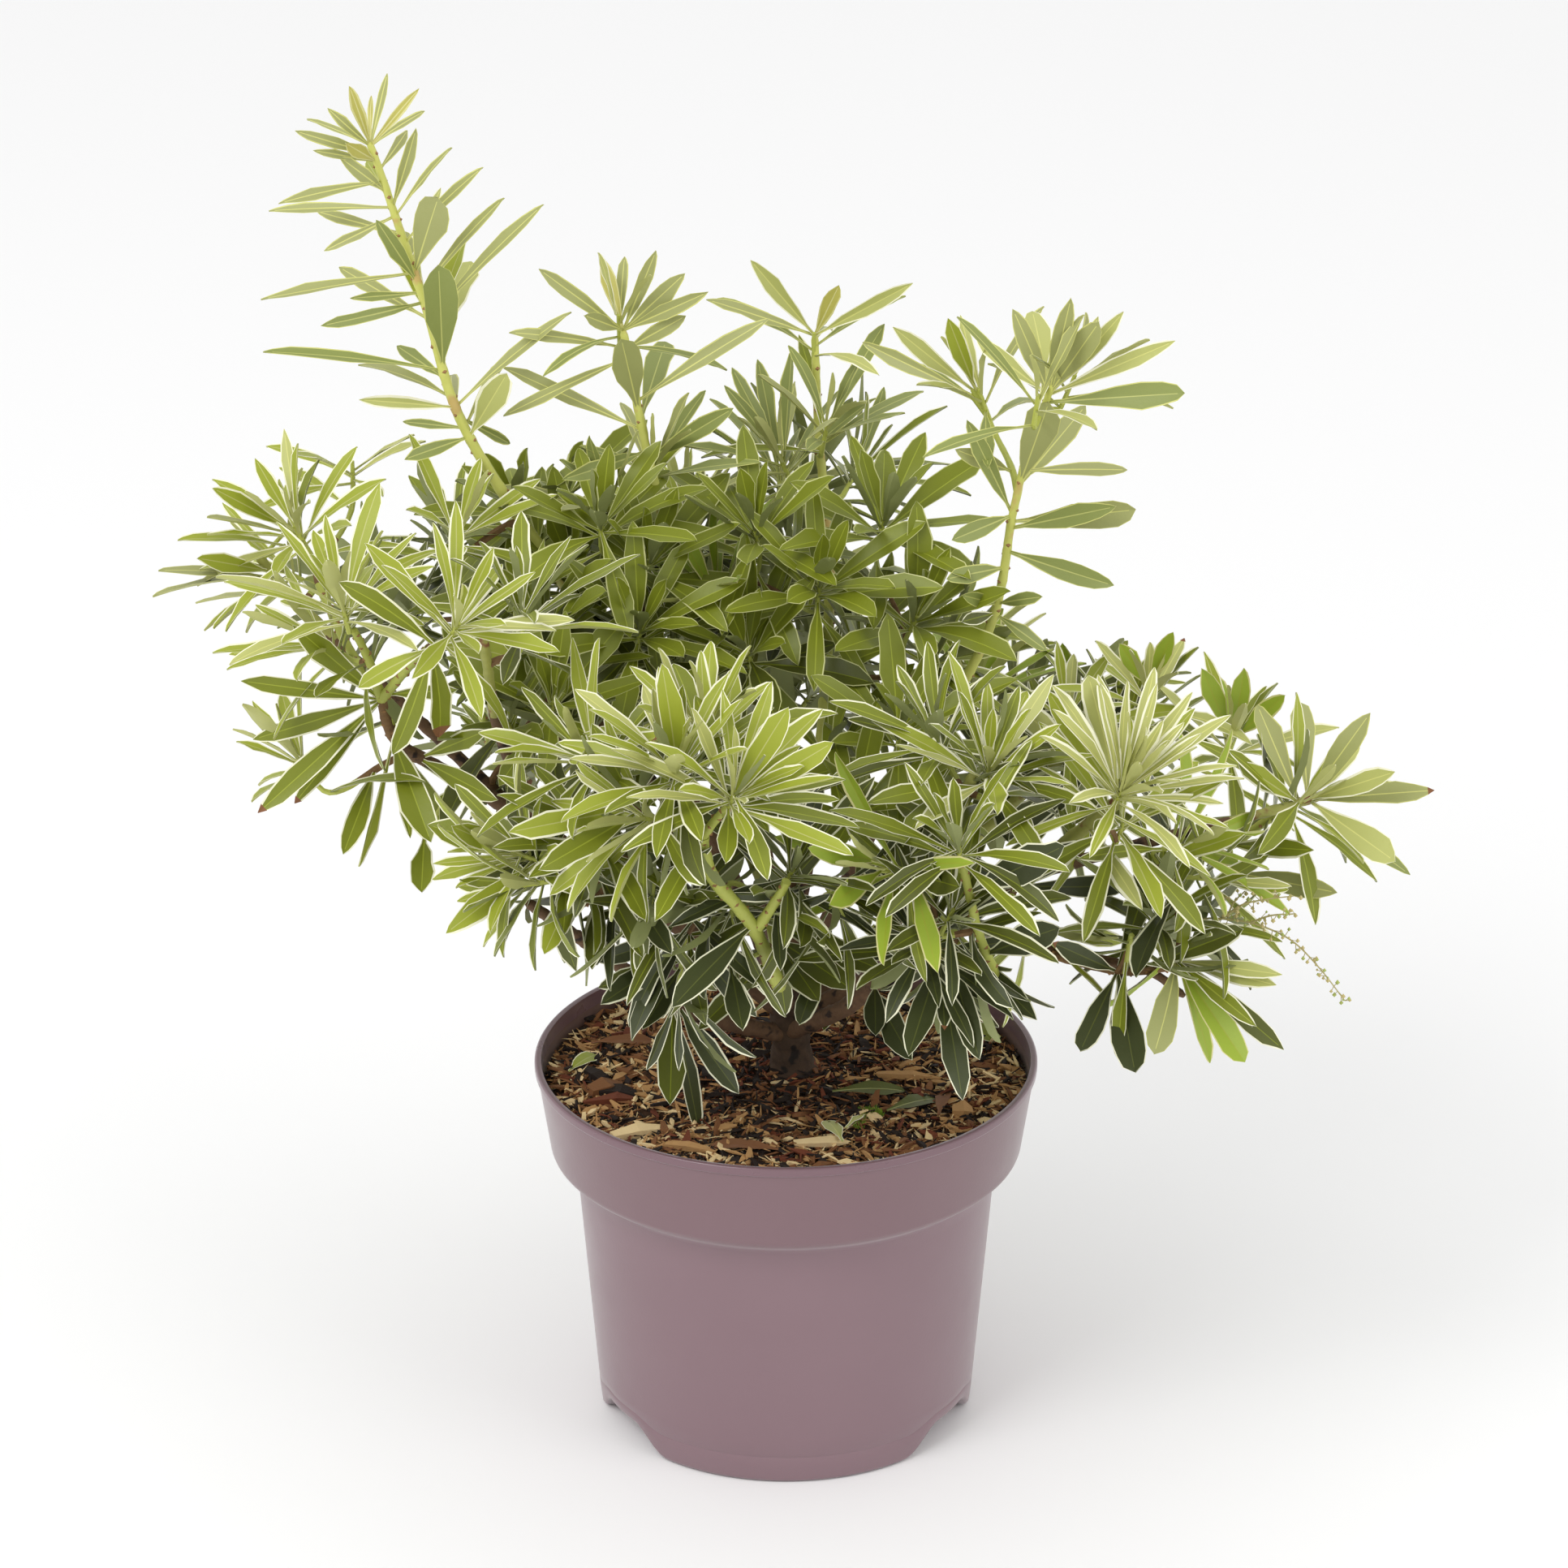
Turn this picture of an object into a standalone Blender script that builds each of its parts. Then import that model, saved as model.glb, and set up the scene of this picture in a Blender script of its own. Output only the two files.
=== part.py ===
"""A pieris shrub in its nursery pot: pot, soil, stem, boughs and the masses of foliage they carry.

Metres, +Z up. The origin is the centre of the pot's flat underside, and the front of the plant faces -Y.
"""

import math

import bmesh
import bpy
from mathutils import Vector, noise

MM = 0.001
GAP = 0.3 * MM

# Pot, a thin moulded shell with a stepped collar and drainage arches in its foot
POT_HEIGHT = 175 * MM
RIM_RADIUS = 115 * MM
LIP_HEIGHT = 4.5 * MM
LIP_STAND_OUT = 1.2 * MM
COLLAR_DEPTH = 41 * MM
COLLAR_FOOT_RADIUS = 108.2 * MM
STEP_DEPTH = 11 * MM
BODY_TOP_RADIUS = 96.3 * MM
FOOT_RADIUS = 86 * MM
FOOT_ROUNDING = 2.5 * MM
WALL = 1.8 * MM
FLOOR_DISC_RADIUS = 56 * MM
ARCH_HEIGHT = 12 * MM
ARCH_CENTRES = (60, 180, 300)
ARCH_HALF_ANGLE = 13
ARCH_SLOPE_ANGLE = 14
POT_COLUMNS = 48
STEP_ROWS = 2

# Soil, level and a little below the rim
SOIL_BELOW_RIM = 12 * MM
SOIL_SLACK = 0.4 * MM

# Limbs
STEM_SIDES = 12
LIMB_SIDES = 7
LIMB_STEP = 30 * MM
SOCKET_DEPTH = 3 * MM
ENTRY_STEPS = 24
ROOT_FLARE = 1.55
ROOT_FLARE_HEIGHT = 12 * MM

# Foliage masses
MASS_SIDES = 10
MASS_RINGS = 6
MASS_UNEVENNESS = 0.24
MASS_RUFFLE = 0.07
MASS_LUMP_SIZE = 0.375
MASS_CLEARANCE = 0.22 * MM
MASS_SEED = Vector((7.1, 3.3, 1.7))

# The stem, from the flat cut at soil level to its fork, in millimetres
STEM_ROUTE = ((3, 4, 163.3), (2, 3, 186), (-1, 0, 214))
STEM_RADII = (9.5, 8.0)

# Each limb: the points it passes, its radius at foot and tip, in millimetres, and the mass that it ends in.
# A limb starts inside the one that carries it, and is cut back to that one's bark.
LIMBS = {
    "bough_left": (((0, 2, 196), (-52, -6, 246), (-118, -26, 306), (-172, -50, 352)), (5.2, 2.8), "left_under"),
    "bough_right": (((2, 1, 192), (50, -16, 228), (104, -52, 288), (146, -92, 344)), (5.0, 2.8), "right_bright"),
    "bough_front": (((0, 0, 200), (-8, -44, 238), (-6, -84, 290), (-30, -140, 372)), (4.8, 3.0), "front_main"),
    "bough_back": (((0, 3, 203), (-10, 48, 240), (-16, 96, 272), (-14, 150, 312)), (4.8, 2.6), "back_middle"),
    "bough_front_left": (((1, 2, 184), (-44, -34, 214), (-80, -78, 262), (-112, -118, 306)), (4.2, 2.4),
                         "front_left_low"),
    "bough_front_right": (((1, 1, 186), (34, -44, 226), (58, -84, 284), (80, -118, 366)), (4.4, 2.6),
                          "front_right_top"),
    "bough_back_right": (((2, 3, 188), (48, 44, 220), (96, 76, 258), (140, 92, 296)), (4.4, 2.4), "back_right"),
    "tall_shoot": (((-1, 1, 206), (-34, 28, 272), (-92, 34, 380), (-141, 22, 470), (-158, 20, 530), (-174, 20, 584),
                    (-181, 20, 606)), (4.6, 1.8), "tall_tip"),
    "second_shoot": (((-1, 2, 210), (-14, 26, 290), (-44, 38, 380), (-62, 40, 455), (-72, 40, 512)), (4.2, 2.0),
                     "second_tip"),
    "third_shoot": (((0, 3, 207), (14, 38, 290), (20, 78, 380), (15, 94, 440), (13, 100, 488)), (4.0, 2.0),
                    "third_tip"),
    "right_shoot": (((0, 1, 204), (40, 6, 286), (88, 6, 376), (100, 0, 440), (106, -6, 472), (116, -17, 508)),
                    (4.4, 2.0), "right_tip"),
    "bough_left_back": (((-30, 24, 262), (-80, 62, 306), (-132, 92, 344), (-156, 104, 368)), (3.4, 2.2),
                        "back_left_top"),
    "bough_left_outer": (((-118, -26, 306), (-178, -4, 358), (-218, 4, 398), (-234, 2, 420)), (3.0, 2.0),
                         "left_outer"),
    "bough_left_front": (((-108, -23, 298), (-124, -74, 364), (-128, -104, 412), (-129, -118, 436)), (3.0, 2.0),
                         "left_front"),
    "bough_right_outer": (((104, -52, 288), (166, -46, 304), (212, -36, 312), (244, -30, 320)), (3.0, 2.0),
                          "right_outer"),
    "bough_right_low": (((78, -34, 257), (122, -66, 258), (158, -80, 256), (176, -82, 244)), (2.8, 1.8),
                        "right_hanging"),
}

# Each mass of foliage: its middle, and half its width, depth and height, in millimetres
MASSES = {
    "tall_tip": ((-181, 20, 604), (34, 32, 33)),
    "tall_middle": ((-160, 20, 562), (54, 44, 30)),
    "tall_low": ((-182, 18, 507), (52, 46, 34)),
    "second_tip": ((-72, 40, 515), (46, 42, 36)),
    "second_low": ((-70, 40, 458), (52, 46, 32)),
    "third_tip": ((12, 100, 494), (50, 44, 32)),
    "third_low": ((15, 82, 438), (54, 48, 38)),
    "right_tip": ((124, -20, 515), (50, 46, 36)),
    "right_tip_side": ((79, 30, 492), (40, 40, 31)),
    "right_middle": ((112, 0, 436), (46, 44, 48)),
    "left_outer": ((-234, 0, 420), (49, 46, 42)),
    "left_top": ((-200, 52, 446), (48, 48, 34)),
    "left_shoulder": ((-136, 8, 452), (42, 44, 36)),
    "left_middle": ((-190, -78, 424), (42, 44, 40)),
    "left_front": ((-129, -122, 442), (46, 44, 42)),
    "left_under": ((-190, -58, 362), (52, 48, 38)),
    "left_droop": ((-168, -46, 312), (42, 40, 40)),
    "inner_left": ((-98, 54, 404), (52, 54, 50)),
    "inner_low": ((-102, -26, 366), (46, 50, 48)),
    "centre_left": ((-50, 8, 388), (48, 56, 52)),
    "centre_right": ((50, 24, 386), (54, 56, 52)),
    "centre_front": ((38, -38, 338), (48, 54, 46)),
    "front_main": ((-32, -166, 398), (58, 50, 46)),
    "front_left": ((-84, -150, 362), (48, 44, 34)),
    "front_left_low": ((-116, -122, 312), (46, 44, 36)),
    "front_skirt": ((-36, -136, 298), (56, 46, 40)),
    "front_droop": ((-38, -98, 229), (30, 33, 47)),
    "front_right": ((64, -150, 316), (56, 46, 42)),
    "front_right_top": ((80, -122, 380), (44, 44, 42)),
    "front_right_droop": ((80, -84, 228), (29, 32, 40)),
    "right_bright": ((150, -108, 364), (50, 48, 46)),
    "right_back_top": ((166, 44, 328), (66, 46, 36)),
    "right_outer": ((242, -30, 322), (49, 44, 42)),
    "right_lower": ((184, -78, 290), (54, 46, 34)),
    "right_hanging": ((178, -80, 238), (50, 38, 32)),
    "right_under": ((122, -62, 262), (38, 36, 36)),
    "back_left_top": ((-158, 110, 370), (58, 54, 46)),
    "back_left_low": ((-108, 116, 298), (60, 56, 44)),
    "back_top": ((-22, 128, 374), (66, 54, 46)),
    "back_middle": ((-12, 164, 308), (62, 52, 44)),
    "back_right": ((122, 112, 292), (64, 56, 44)),
}

# Colour and roughness of each finish
MATERIALS = {
    "pot_plastic": ((0.29, 0.19, 0.21), 0.45),
    "soil": ((0.10, 0.05, 0.03), 0.95),
    "bark": ((0.22, 0.13, 0.07), 0.85),
    "green_stem": ((0.42, 0.48, 0.14), 0.6),
    "foliage": ((0.16, 0.27, 0.08), 0.55),
}


def material(name):
    found = bpy.data.materials.get(name)
    if found:
        return found
    colour, roughness = MATERIALS[name]
    made = bpy.data.materials.new(name)
    made.use_nodes = True
    shader = made.node_tree.nodes["Principled BSDF"]
    shader.inputs["Base Color"].default_value = (*colour, 1.0)
    shader.inputs["Roughness"].default_value = roughness
    shader.inputs["Metallic"].default_value = 0.0
    return made


def new_object(name, points, faces, material_name, sharp_angle=35):
    """An object from points and faces, smooth except at edges sharper than sharp_angle."""
    mesh = bpy.data.meshes.new(name)
    mesh.from_pydata([tuple(point) for point in points], [], faces)
    mesh.materials.append(material(material_name))
    mesh.shade_smooth()
    mesh.set_sharp_from_angle(angle=math.radians(sharp_angle))
    piece = bpy.data.objects.new(name, mesh)
    bpy.context.scene.collection.objects.link(piece)
    return piece


def skin(rings, close_start, close_end):
    """Points and faces of a tube through rings of equal length, each end closed by a fan about a middle point."""
    count = len(rings[0])
    points = [point for ring in rings for point in ring]
    faces = []
    for row in range(len(rings) - 1):
        for side in range(count):
            after = (side + 1) % count
            low = row * count
            high = low + count
            faces.append((low + side, low + after, high + after, high + side))
    last = (len(rings) - 1) * count
    start = len(points)
    points.append(close_start)
    end = len(points)
    points.append(close_end)
    for side in range(count):
        after = (side + 1) % count
        faces.append((start, after, side))
        faces.append((end, last + side, last + after))
    return points, faces


def ease(share):
    """0 to 1 with a level start and end."""
    share = min(max(share, 0.0), 1.0)
    return share * share * (3 - 2 * share)


def arch_lift(angle):
    """Height of the foot's edge above the ground at an angle round the pot, 0 at the front."""
    lift = 0.0
    for centre in ARCH_CENTRES:
        off = abs((angle - centre + 180) % 360 - 180)
        lift = max(lift, ease((ARCH_HALF_ANGLE + ARCH_SLOPE_ANGLE / 2 - off) / ARCH_SLOPE_ANGLE))
    return ARCH_HEIGHT * lift


def outer_radius(height):
    """Radius of the pot's outer face at a height, below the lip."""
    step_top = POT_HEIGHT - COLLAR_DEPTH
    step_foot = step_top - STEP_DEPTH
    if height >= step_top:
        share = (height - step_top) / (COLLAR_DEPTH - LIP_HEIGHT)
        return COLLAR_FOOT_RADIUS + share * (RIM_RADIUS - LIP_STAND_OUT - COLLAR_FOOT_RADIUS)
    if height >= step_foot:
        return BODY_TOP_RADIUS + ease((height - step_foot) / STEP_DEPTH) * (COLLAR_FOOT_RADIUS - BODY_TOP_RADIUS)
    return FOOT_RADIUS + height / step_foot * (BODY_TOP_RADIUS - FOOT_RADIUS)


def step_heights():
    """Heights of the rings that shape the step under the collar, from its foot up."""
    step_top = POT_HEIGHT - COLLAR_DEPTH
    return [step_top - STEP_DEPTH * row / STEP_ROWS for row in range(STEP_ROWS, -1, -1)]


def inner_wall():
    """The pot's inner face, from its mouth down to its foot, as radius and height."""
    foot = ARCH_HEIGHT + FOOT_ROUNDING + WALL
    mouth = outer_radius(POT_HEIGHT - LIP_HEIGHT) - WALL
    rows = [(outer_radius(height) - WALL, height - WALL / 2) for height in reversed(step_heights())]
    return [(mouth, POT_HEIGHT), *rows, (outer_radius(foot) - WALL, foot)]


def pot_profile(angle):
    """The pot's section at an angle, from under the floor, up the outside, over the lip and down the inside."""
    lift = arch_lift(angle)
    lip_foot = POT_HEIGHT - LIP_HEIGHT
    corner = outer_radius(lift) - FOOT_ROUNDING
    profile = [(FLOOR_DISC_RADIUS, 0.0), (corner, lift)]
    profile.append((outer_radius(lift + FOOT_ROUNDING), lift + FOOT_ROUNDING))
    profile += [(outer_radius(height), height) for height in step_heights()]
    profile += [(outer_radius(lip_foot), lip_foot), (RIM_RADIUS, lip_foot + LIP_STAND_OUT)]
    profile += [(RIM_RADIUS, POT_HEIGHT - LIP_STAND_OUT), (RIM_RADIUS - LIP_STAND_OUT, POT_HEIGHT)]
    profile += inner_wall()
    profile += [(corner - WALL, lift + WALL), (FLOOR_DISC_RADIUS - WALL, WALL)]
    return profile


def ring_round(radius, height, columns):
    return [Vector((radius * math.cos(2 * math.pi * column / columns),
                    radius * math.sin(2 * math.pi * column / columns), height)) for column in range(columns)]


def make_pot():
    """The shell as a grid of sections, with a level disc under its middle that the pot stands on."""
    columns = []
    for column in range(POT_COLUMNS):
        angle = 360 * column / POT_COLUMNS
        turn = math.radians(angle - 90)
        section = [Vector((radius * math.cos(turn), radius * math.sin(turn), height))
                   for radius, height in pot_profile(angle)]
        columns.append(section)
    rings = [list(ring) for ring in zip(*columns)]
    points, faces = skin(rings, Vector((0, 0, 0)), Vector((0, 0, WALL)))
    return new_object("pot", points, faces, "pot_plastic")


def make_soil():
    """The soil that fills the pot, a little off its wall and floor."""
    top = POT_HEIGHT - SOIL_BELOW_RIM
    wall = inner_wall()
    (mouth, mouth_height), (below, below_height) = wall[:2]
    share = (top - below_height) / (mouth_height - below_height)
    rows = [(below + share * (mouth - below), top), *wall[1:]]
    rings = [ring_round(radius - SOIL_SLACK, height, POT_COLUMNS) for radius, height in reversed(rows)]
    points, faces = skin(rings, Vector((0, 0, rows[-1][1])), Vector((0, 0, top)))
    return new_object("soil", points, faces, "soil")


def smooth_route(route, step):
    """A smooth line through the route's points, in metres, with a point about every step."""
    given = [Vector(point) * MM for point in route]
    padded = [2 * given[0] - given[1], *given, 2 * given[-1] - given[-2]]
    line = [given[0]]
    for index in range(1, len(padded) - 2):
        before, start, end, after = padded[index - 1:index + 3]
        count = max(1, round((end - start).length / step))
        for part in range(1, count + 1):
            t = part / count
            line.append(0.5 * (2 * start + (end - before) * t
                               + (2 * before - 5 * start + 4 * end - after) * t ** 2
                               + (3 * start - before - 3 * end + after) * t ** 3))
    return line


def tube(line, radii, sides):
    """Rings round a line, square to it, all turned alike."""
    rings = []
    side_way = Vector((1, 0.2, 0.1))
    for index, (point, radius) in enumerate(zip(line, radii)):
        ahead = line[min(index + 1, len(line) - 1)] - line[max(index - 1, 0)]
        ahead.normalize()
        side_way = (side_way - side_way.dot(ahead) * ahead).normalized()
        up_way = ahead.cross(side_way)
        rings.append([point + radius * (math.cos(2 * math.pi * side / sides) * side_way
                                        + math.sin(2 * math.pi * side / sides) * up_way)
                      for side in range(sides)])
    return rings


def limb_solid(name, line, radii, sides, material_name, swell=0.0):
    """A tapering limb along a line; swell makes it fatter and longer, as a cutter that leaves a gap."""
    line = [point.copy() for point in line]
    if swell:
        line[0] += swell * (line[0] - line[1]).normalized()
        line[-1] += swell * (line[-1] - line[-2]).normalized()
    fat = [radius + swell / math.cos(math.pi / sides) for radius in radii]
    points, faces = skin(tube(line, fat, sides), line[0], line[-1])
    return new_object(name, points, faces, material_name)


def as_cutter(piece):
    piece.hide_render = True
    piece.display_type = "WIRE"
    return piece


def box_of(piece):
    corners = [vertex.co for vertex in piece.data.vertices]
    low = Vector([min(corner[axis] for corner in corners) for axis in range(3)])
    high = Vector([max(corner[axis] for corner in corners) for axis in range(3)])
    return low, high


def boxes_meet(one, other):
    (low_a, high_a), (low_b, high_b) = box_of(one), box_of(other)
    return all(low_a[axis] <= high_b[axis] and low_b[axis] <= high_a[axis] for axis in range(3))


def keep_largest_body(mesh):
    """Deletes the slivers that a cut has parted from a body."""
    shape = bmesh.new()
    shape.from_mesh(mesh)
    left = set(shape.verts)
    bodies = []
    while left:
        body = {left.pop()}
        edge_of = list(body)
        while edge_of:
            vertex = edge_of.pop()
            for edge in vertex.link_edges:
                other = edge.other_vert(vertex)
                if other in left:
                    left.discard(other)
                    body.add(other)
                    edge_of.append(other)
        bodies.append(body)
    bodies.sort(key=len)
    for body in bodies[:-1]:
        bmesh.ops.delete(shape, geom=list(body), context="VERTS")
    bmesh.ops.triangulate(shape, faces=shape.faces[:])
    shape.to_mesh(mesh)
    shape.free()


def cut(piece, cutters):
    """Takes from a piece every cutter that meets it, and keeps its largest body."""
    for cutter in cutters:
        if not boxes_meet(piece, cutter):
            continue
        boolean = piece.modifiers.new("cut", "BOOLEAN")
        boolean.operation = "DIFFERENCE"
        boolean.solver = "EXACT"
        boolean.object = cutter
        graph = bpy.context.evaluated_depsgraph_get()
        trimmed = bpy.data.meshes.new_from_object(piece.evaluated_get(graph))
        piece.modifiers.clear()
        piece.data = trimmed
        trimmed.name = piece.name
        keep_largest_body(trimmed)


def own_radius(half, way):
    """Distance from an ellipsoid's middle to its skin, along a unit direction."""
    return 1 / math.sqrt(sum((way[axis] / half[axis]) ** 2 for axis in range(3)))


def mass_solid(name, index):
    """An uneven lump about its middle, kept on its own side of a plane to each neighbour."""
    middle = Vector(MASSES[name][0]) * MM
    half = Vector(MASSES[name][1]) * MM
    planes = []
    for other, (other_middle, other_half) in MASSES.items():
        if other == name:
            continue
        between = Vector(other_middle) * MM - middle
        way = between.normalized()
        mine = own_radius(half, way)
        theirs = own_radius(Vector(other_half) * MM, way)
        reach = 1 + MASS_UNEVENNESS + MASS_RUFFLE
        if between.length < reach * (max(half) + max(other_half) * MM):
            planes.append((way, between.length * mine / (mine + theirs) - MASS_CLEARANCE))

    def skin_point(way, ruffle=0.0):
        lump = noise.noise(way / MASS_LUMP_SIZE + index * MASS_SEED)
        radius = own_radius(half, way) * (1 + MASS_UNEVENNESS * lump + ruffle)
        for normal, offset in planes:
            facing = way.dot(normal)
            if facing > 0:
                radius = min(radius, offset / facing)
        return middle + radius * way

    rings = []
    for row in range(1, MASS_RINGS):
        rise = math.pi * (row / MASS_RINGS - 0.5)
        ring = []
        for side in range(MASS_SIDES):
            turn = 2 * math.pi * side / MASS_SIDES
            way = Vector((math.cos(rise) * math.cos(turn), math.cos(rise) * math.sin(turn), math.sin(rise)))
            ring.append(skin_point(way, MASS_RUFFLE * (-1) ** (side + row)))
        rings.append(ring)
    points, faces = skin(rings, skin_point(Vector((0, 0, -1))), skin_point(Vector((0, 0, 1))))
    return new_object(name, points, faces, "foliage", sharp_angle=60)


def entry_into(line, mass_name):
    """The line up to just inside the skin of a mass, found on the mass's own middle and half sizes."""
    middle = Vector(MASSES[mass_name][0]) * MM
    half = Vector(MASSES[mass_name][1]) * MM
    kept = [line[0]]
    for start, end in zip(line, line[1:]):
        for part in range(1, ENTRY_STEPS + 1):
            point = start.lerp(end, part / ENTRY_STEPS)
            away = point - middle
            if away.length < own_radius(half, away.normalized()) * (1 - MASS_UNEVENNESS / 2) - SOCKET_DEPTH:
                kept.append(point)
                return kept
        kept.append(end)
    return kept


def make_limbs():
    """The stem and the boughs, each cut back to the bark of those made before it."""
    stem_line = smooth_route(STEM_ROUTE, 5 * MM)
    foot_z = stem_line[0].z
    radii = []
    for index, point in enumerate(stem_line):
        share = index / (len(stem_line) - 1)
        flare = 1 + (ROOT_FLARE - 1) * (1 - ease((point.z - foot_z) / ROOT_FLARE_HEIGHT))
        radii.append(MM * (STEM_RADII[0] + share * (STEM_RADII[1] - STEM_RADII[0])) * flare)
    stem = limb_solid("stem", stem_line, radii, STEM_SIDES, "bark")
    for vertex in stem.data.vertices[:STEM_SIDES]:
        vertex.co.z = foot_z
    cutters = [as_cutter(limb_solid("stem_cutter", stem_line, radii, STEM_SIDES, "bark", swell=GAP))]
    for name, (route, (foot, tip), mass_name) in LIMBS.items():
        line = entry_into(smooth_route(route, LIMB_STEP), mass_name)
        radii = [MM * (foot + (tip - foot) * index / (len(line) - 1)) for index in range(len(line))]
        look = "green_stem" if name.endswith("shoot") else "bark"
        limb = limb_solid(name, line, radii, LIMB_SIDES, look)
        cut(limb, cutters)
        cutters.append(as_cutter(limb_solid(name + "_cutter", line, radii, LIMB_SIDES, look, swell=GAP)))
    return cutters


def make_masses(cutters):
    """The foliage, each mass cut round the limbs that enter it or run up through it."""
    for index, name in enumerate(MASSES):
        cut(mass_solid(name, index), cutters)


for old in list(bpy.data.objects):
    bpy.data.objects.remove(old, do_unlink=True)
make_pot()
make_soil()
make_masses(make_limbs())
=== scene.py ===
"""A pieris shrub in its nursery pot.

The moulded pot, its bark mulch, the stem and boughs in bark, the twigs, and every leaf by itself.
Metres, +Z up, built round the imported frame. The origin is the centre of the pot's flat underside, and the
front faces -Y.
"""

import math
import random

import bpy
import numpy as np
from mathutils import Matrix, Vector, noise


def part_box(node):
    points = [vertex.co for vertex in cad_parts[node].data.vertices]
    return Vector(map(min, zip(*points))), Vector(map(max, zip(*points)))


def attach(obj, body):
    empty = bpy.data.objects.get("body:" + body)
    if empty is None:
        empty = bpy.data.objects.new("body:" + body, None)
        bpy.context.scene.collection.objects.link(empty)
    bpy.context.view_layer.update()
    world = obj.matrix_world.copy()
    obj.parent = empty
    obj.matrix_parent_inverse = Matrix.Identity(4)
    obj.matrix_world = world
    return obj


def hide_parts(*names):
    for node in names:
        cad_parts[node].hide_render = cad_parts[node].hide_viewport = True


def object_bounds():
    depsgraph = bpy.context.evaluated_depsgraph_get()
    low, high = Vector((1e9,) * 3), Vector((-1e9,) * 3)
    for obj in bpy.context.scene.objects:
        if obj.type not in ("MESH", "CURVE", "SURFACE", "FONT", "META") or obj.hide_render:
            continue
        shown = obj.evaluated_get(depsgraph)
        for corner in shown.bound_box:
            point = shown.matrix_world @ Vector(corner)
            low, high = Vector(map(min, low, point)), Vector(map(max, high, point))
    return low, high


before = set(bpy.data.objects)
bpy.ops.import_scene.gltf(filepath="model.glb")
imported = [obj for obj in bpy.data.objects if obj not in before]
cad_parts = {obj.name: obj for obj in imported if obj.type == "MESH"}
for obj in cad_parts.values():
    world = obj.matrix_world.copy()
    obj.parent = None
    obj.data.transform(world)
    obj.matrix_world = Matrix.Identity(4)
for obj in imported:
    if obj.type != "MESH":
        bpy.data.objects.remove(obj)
cad_low, cad_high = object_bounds()
MM = 0.001

# Camera, floor and light
# A long lens looks down on the plant from the front. The floor is a pale matt sheet under soft white
# light from all round, with a large lamp high at the front left and a weaker one at the right.
PHOTO_SIDE = 1932
LENS = 150.4456
SENSOR = 36.0
LOOK_DOWN = math.radians(23.6311)
CAMERA_AT = Vector((-0.0009, -2.69638, 1.49011))
PIXELS_FOCAL = LENS / SENSOR * PHOTO_SIDE
AHEAD = Vector((0, math.cos(LOOK_DOWN), -math.sin(LOOK_DOWN)))
UP = Vector((0, math.sin(LOOK_DOWN), math.cos(LOOK_DOWN)))
LAMPS = (
    ("key", (-1.5, -1.7, 2.4), 34),
    ("fill", (1.9, -1.2, 1.3), 10),
)
LAMP_SIDE = 1.4
LAMP_TARGET = (0, 0, 0.3)
FLOOR_SIDE = 80
FLOOR_GAP = 0.2 * MM


def make_camera():
    lens = bpy.data.cameras.new("camera")
    lens.lens = LENS
    lens.sensor_width = SENSOR
    camera = bpy.data.objects.new("camera", lens)
    camera.location = CAMERA_AT
    camera.rotation_euler = (math.pi / 2 - LOOK_DOWN, 0, 0)
    bpy.context.scene.collection.objects.link(camera)
    bpy.context.scene.camera = camera


def line_of_sight(px, py):
    """Unit direction from the camera through a pixel of the photograph."""
    across = (px - PHOTO_SIDE / 2) / PIXELS_FOCAL
    rise = (PHOTO_SIDE / 2 - py) / PIXELS_FOCAL
    return (AHEAD + across * Vector((1, 0, 0)) + rise * UP).normalized()


def seen_at(px, py, depth):
    """The point that shows at a pixel and lies at a depth along Y, in metres."""
    way = line_of_sight(px, py)
    return CAMERA_AT + way * ((depth - CAMERA_AT.y) / way.y)


def linear(red, green, blue):
    """A colour given 0 to 255 a channel, as the shader wants it."""
    return tuple((level / 255 / 12.92) if level < 10.3 else ((level / 255 + 0.055) / 1.055) ** 2.4
                 for level in (red, green, blue))


def new_material(name, colour, roughness):
    """A Principled material with a plain colour, its nodes and its shader."""
    made = bpy.data.materials.new(name)
    made.use_nodes = True
    shader = made.node_tree.nodes["Principled BSDF"]
    shader.inputs["Base Color"].default_value = (*colour, 1.0)
    shader.inputs["Roughness"].default_value = roughness
    return made, made.node_tree, shader


def link_into(node, *sources):
    """Links each (input, source node, output) into a node."""
    for socket, source, output in sources:
        node.id_data.links.new(source.outputs[output], node.inputs[socket])


def add_node(tree, kind, values=(), *sources):
    """A shader node with its input values, and its links as link_into takes them."""
    made = tree.nodes.new("ShaderNode" + kind)
    if kind == "Mix":
        made.data_type = "RGBA"
    for socket, value in dict(values).items():
        made.inputs[socket].default_value = value
    link_into(made, *sources)
    return made


def add_bump(shader, grain, strength, depth):
    """A bump of a noise on a shader."""
    bump = add_node(shader.id_data, "Bump", {"Strength": strength, "Distance": depth},
                    ("Height", grain, "Fac"))
    link_into(shader, ("Normal", bump, "Normal"))


def add_lamp(name, place, power):
    light = bpy.data.lights.new(name, "AREA")
    light.size = LAMP_SIDE
    light.energy = power
    lamp = bpy.data.objects.new(name, light)
    lamp.location = place
    lamp.rotation_euler = (Vector(LAMP_TARGET) - Vector(place)).to_track_quat("-Z", "Y").to_euler()
    bpy.context.scene.collection.objects.link(lamp)


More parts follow.
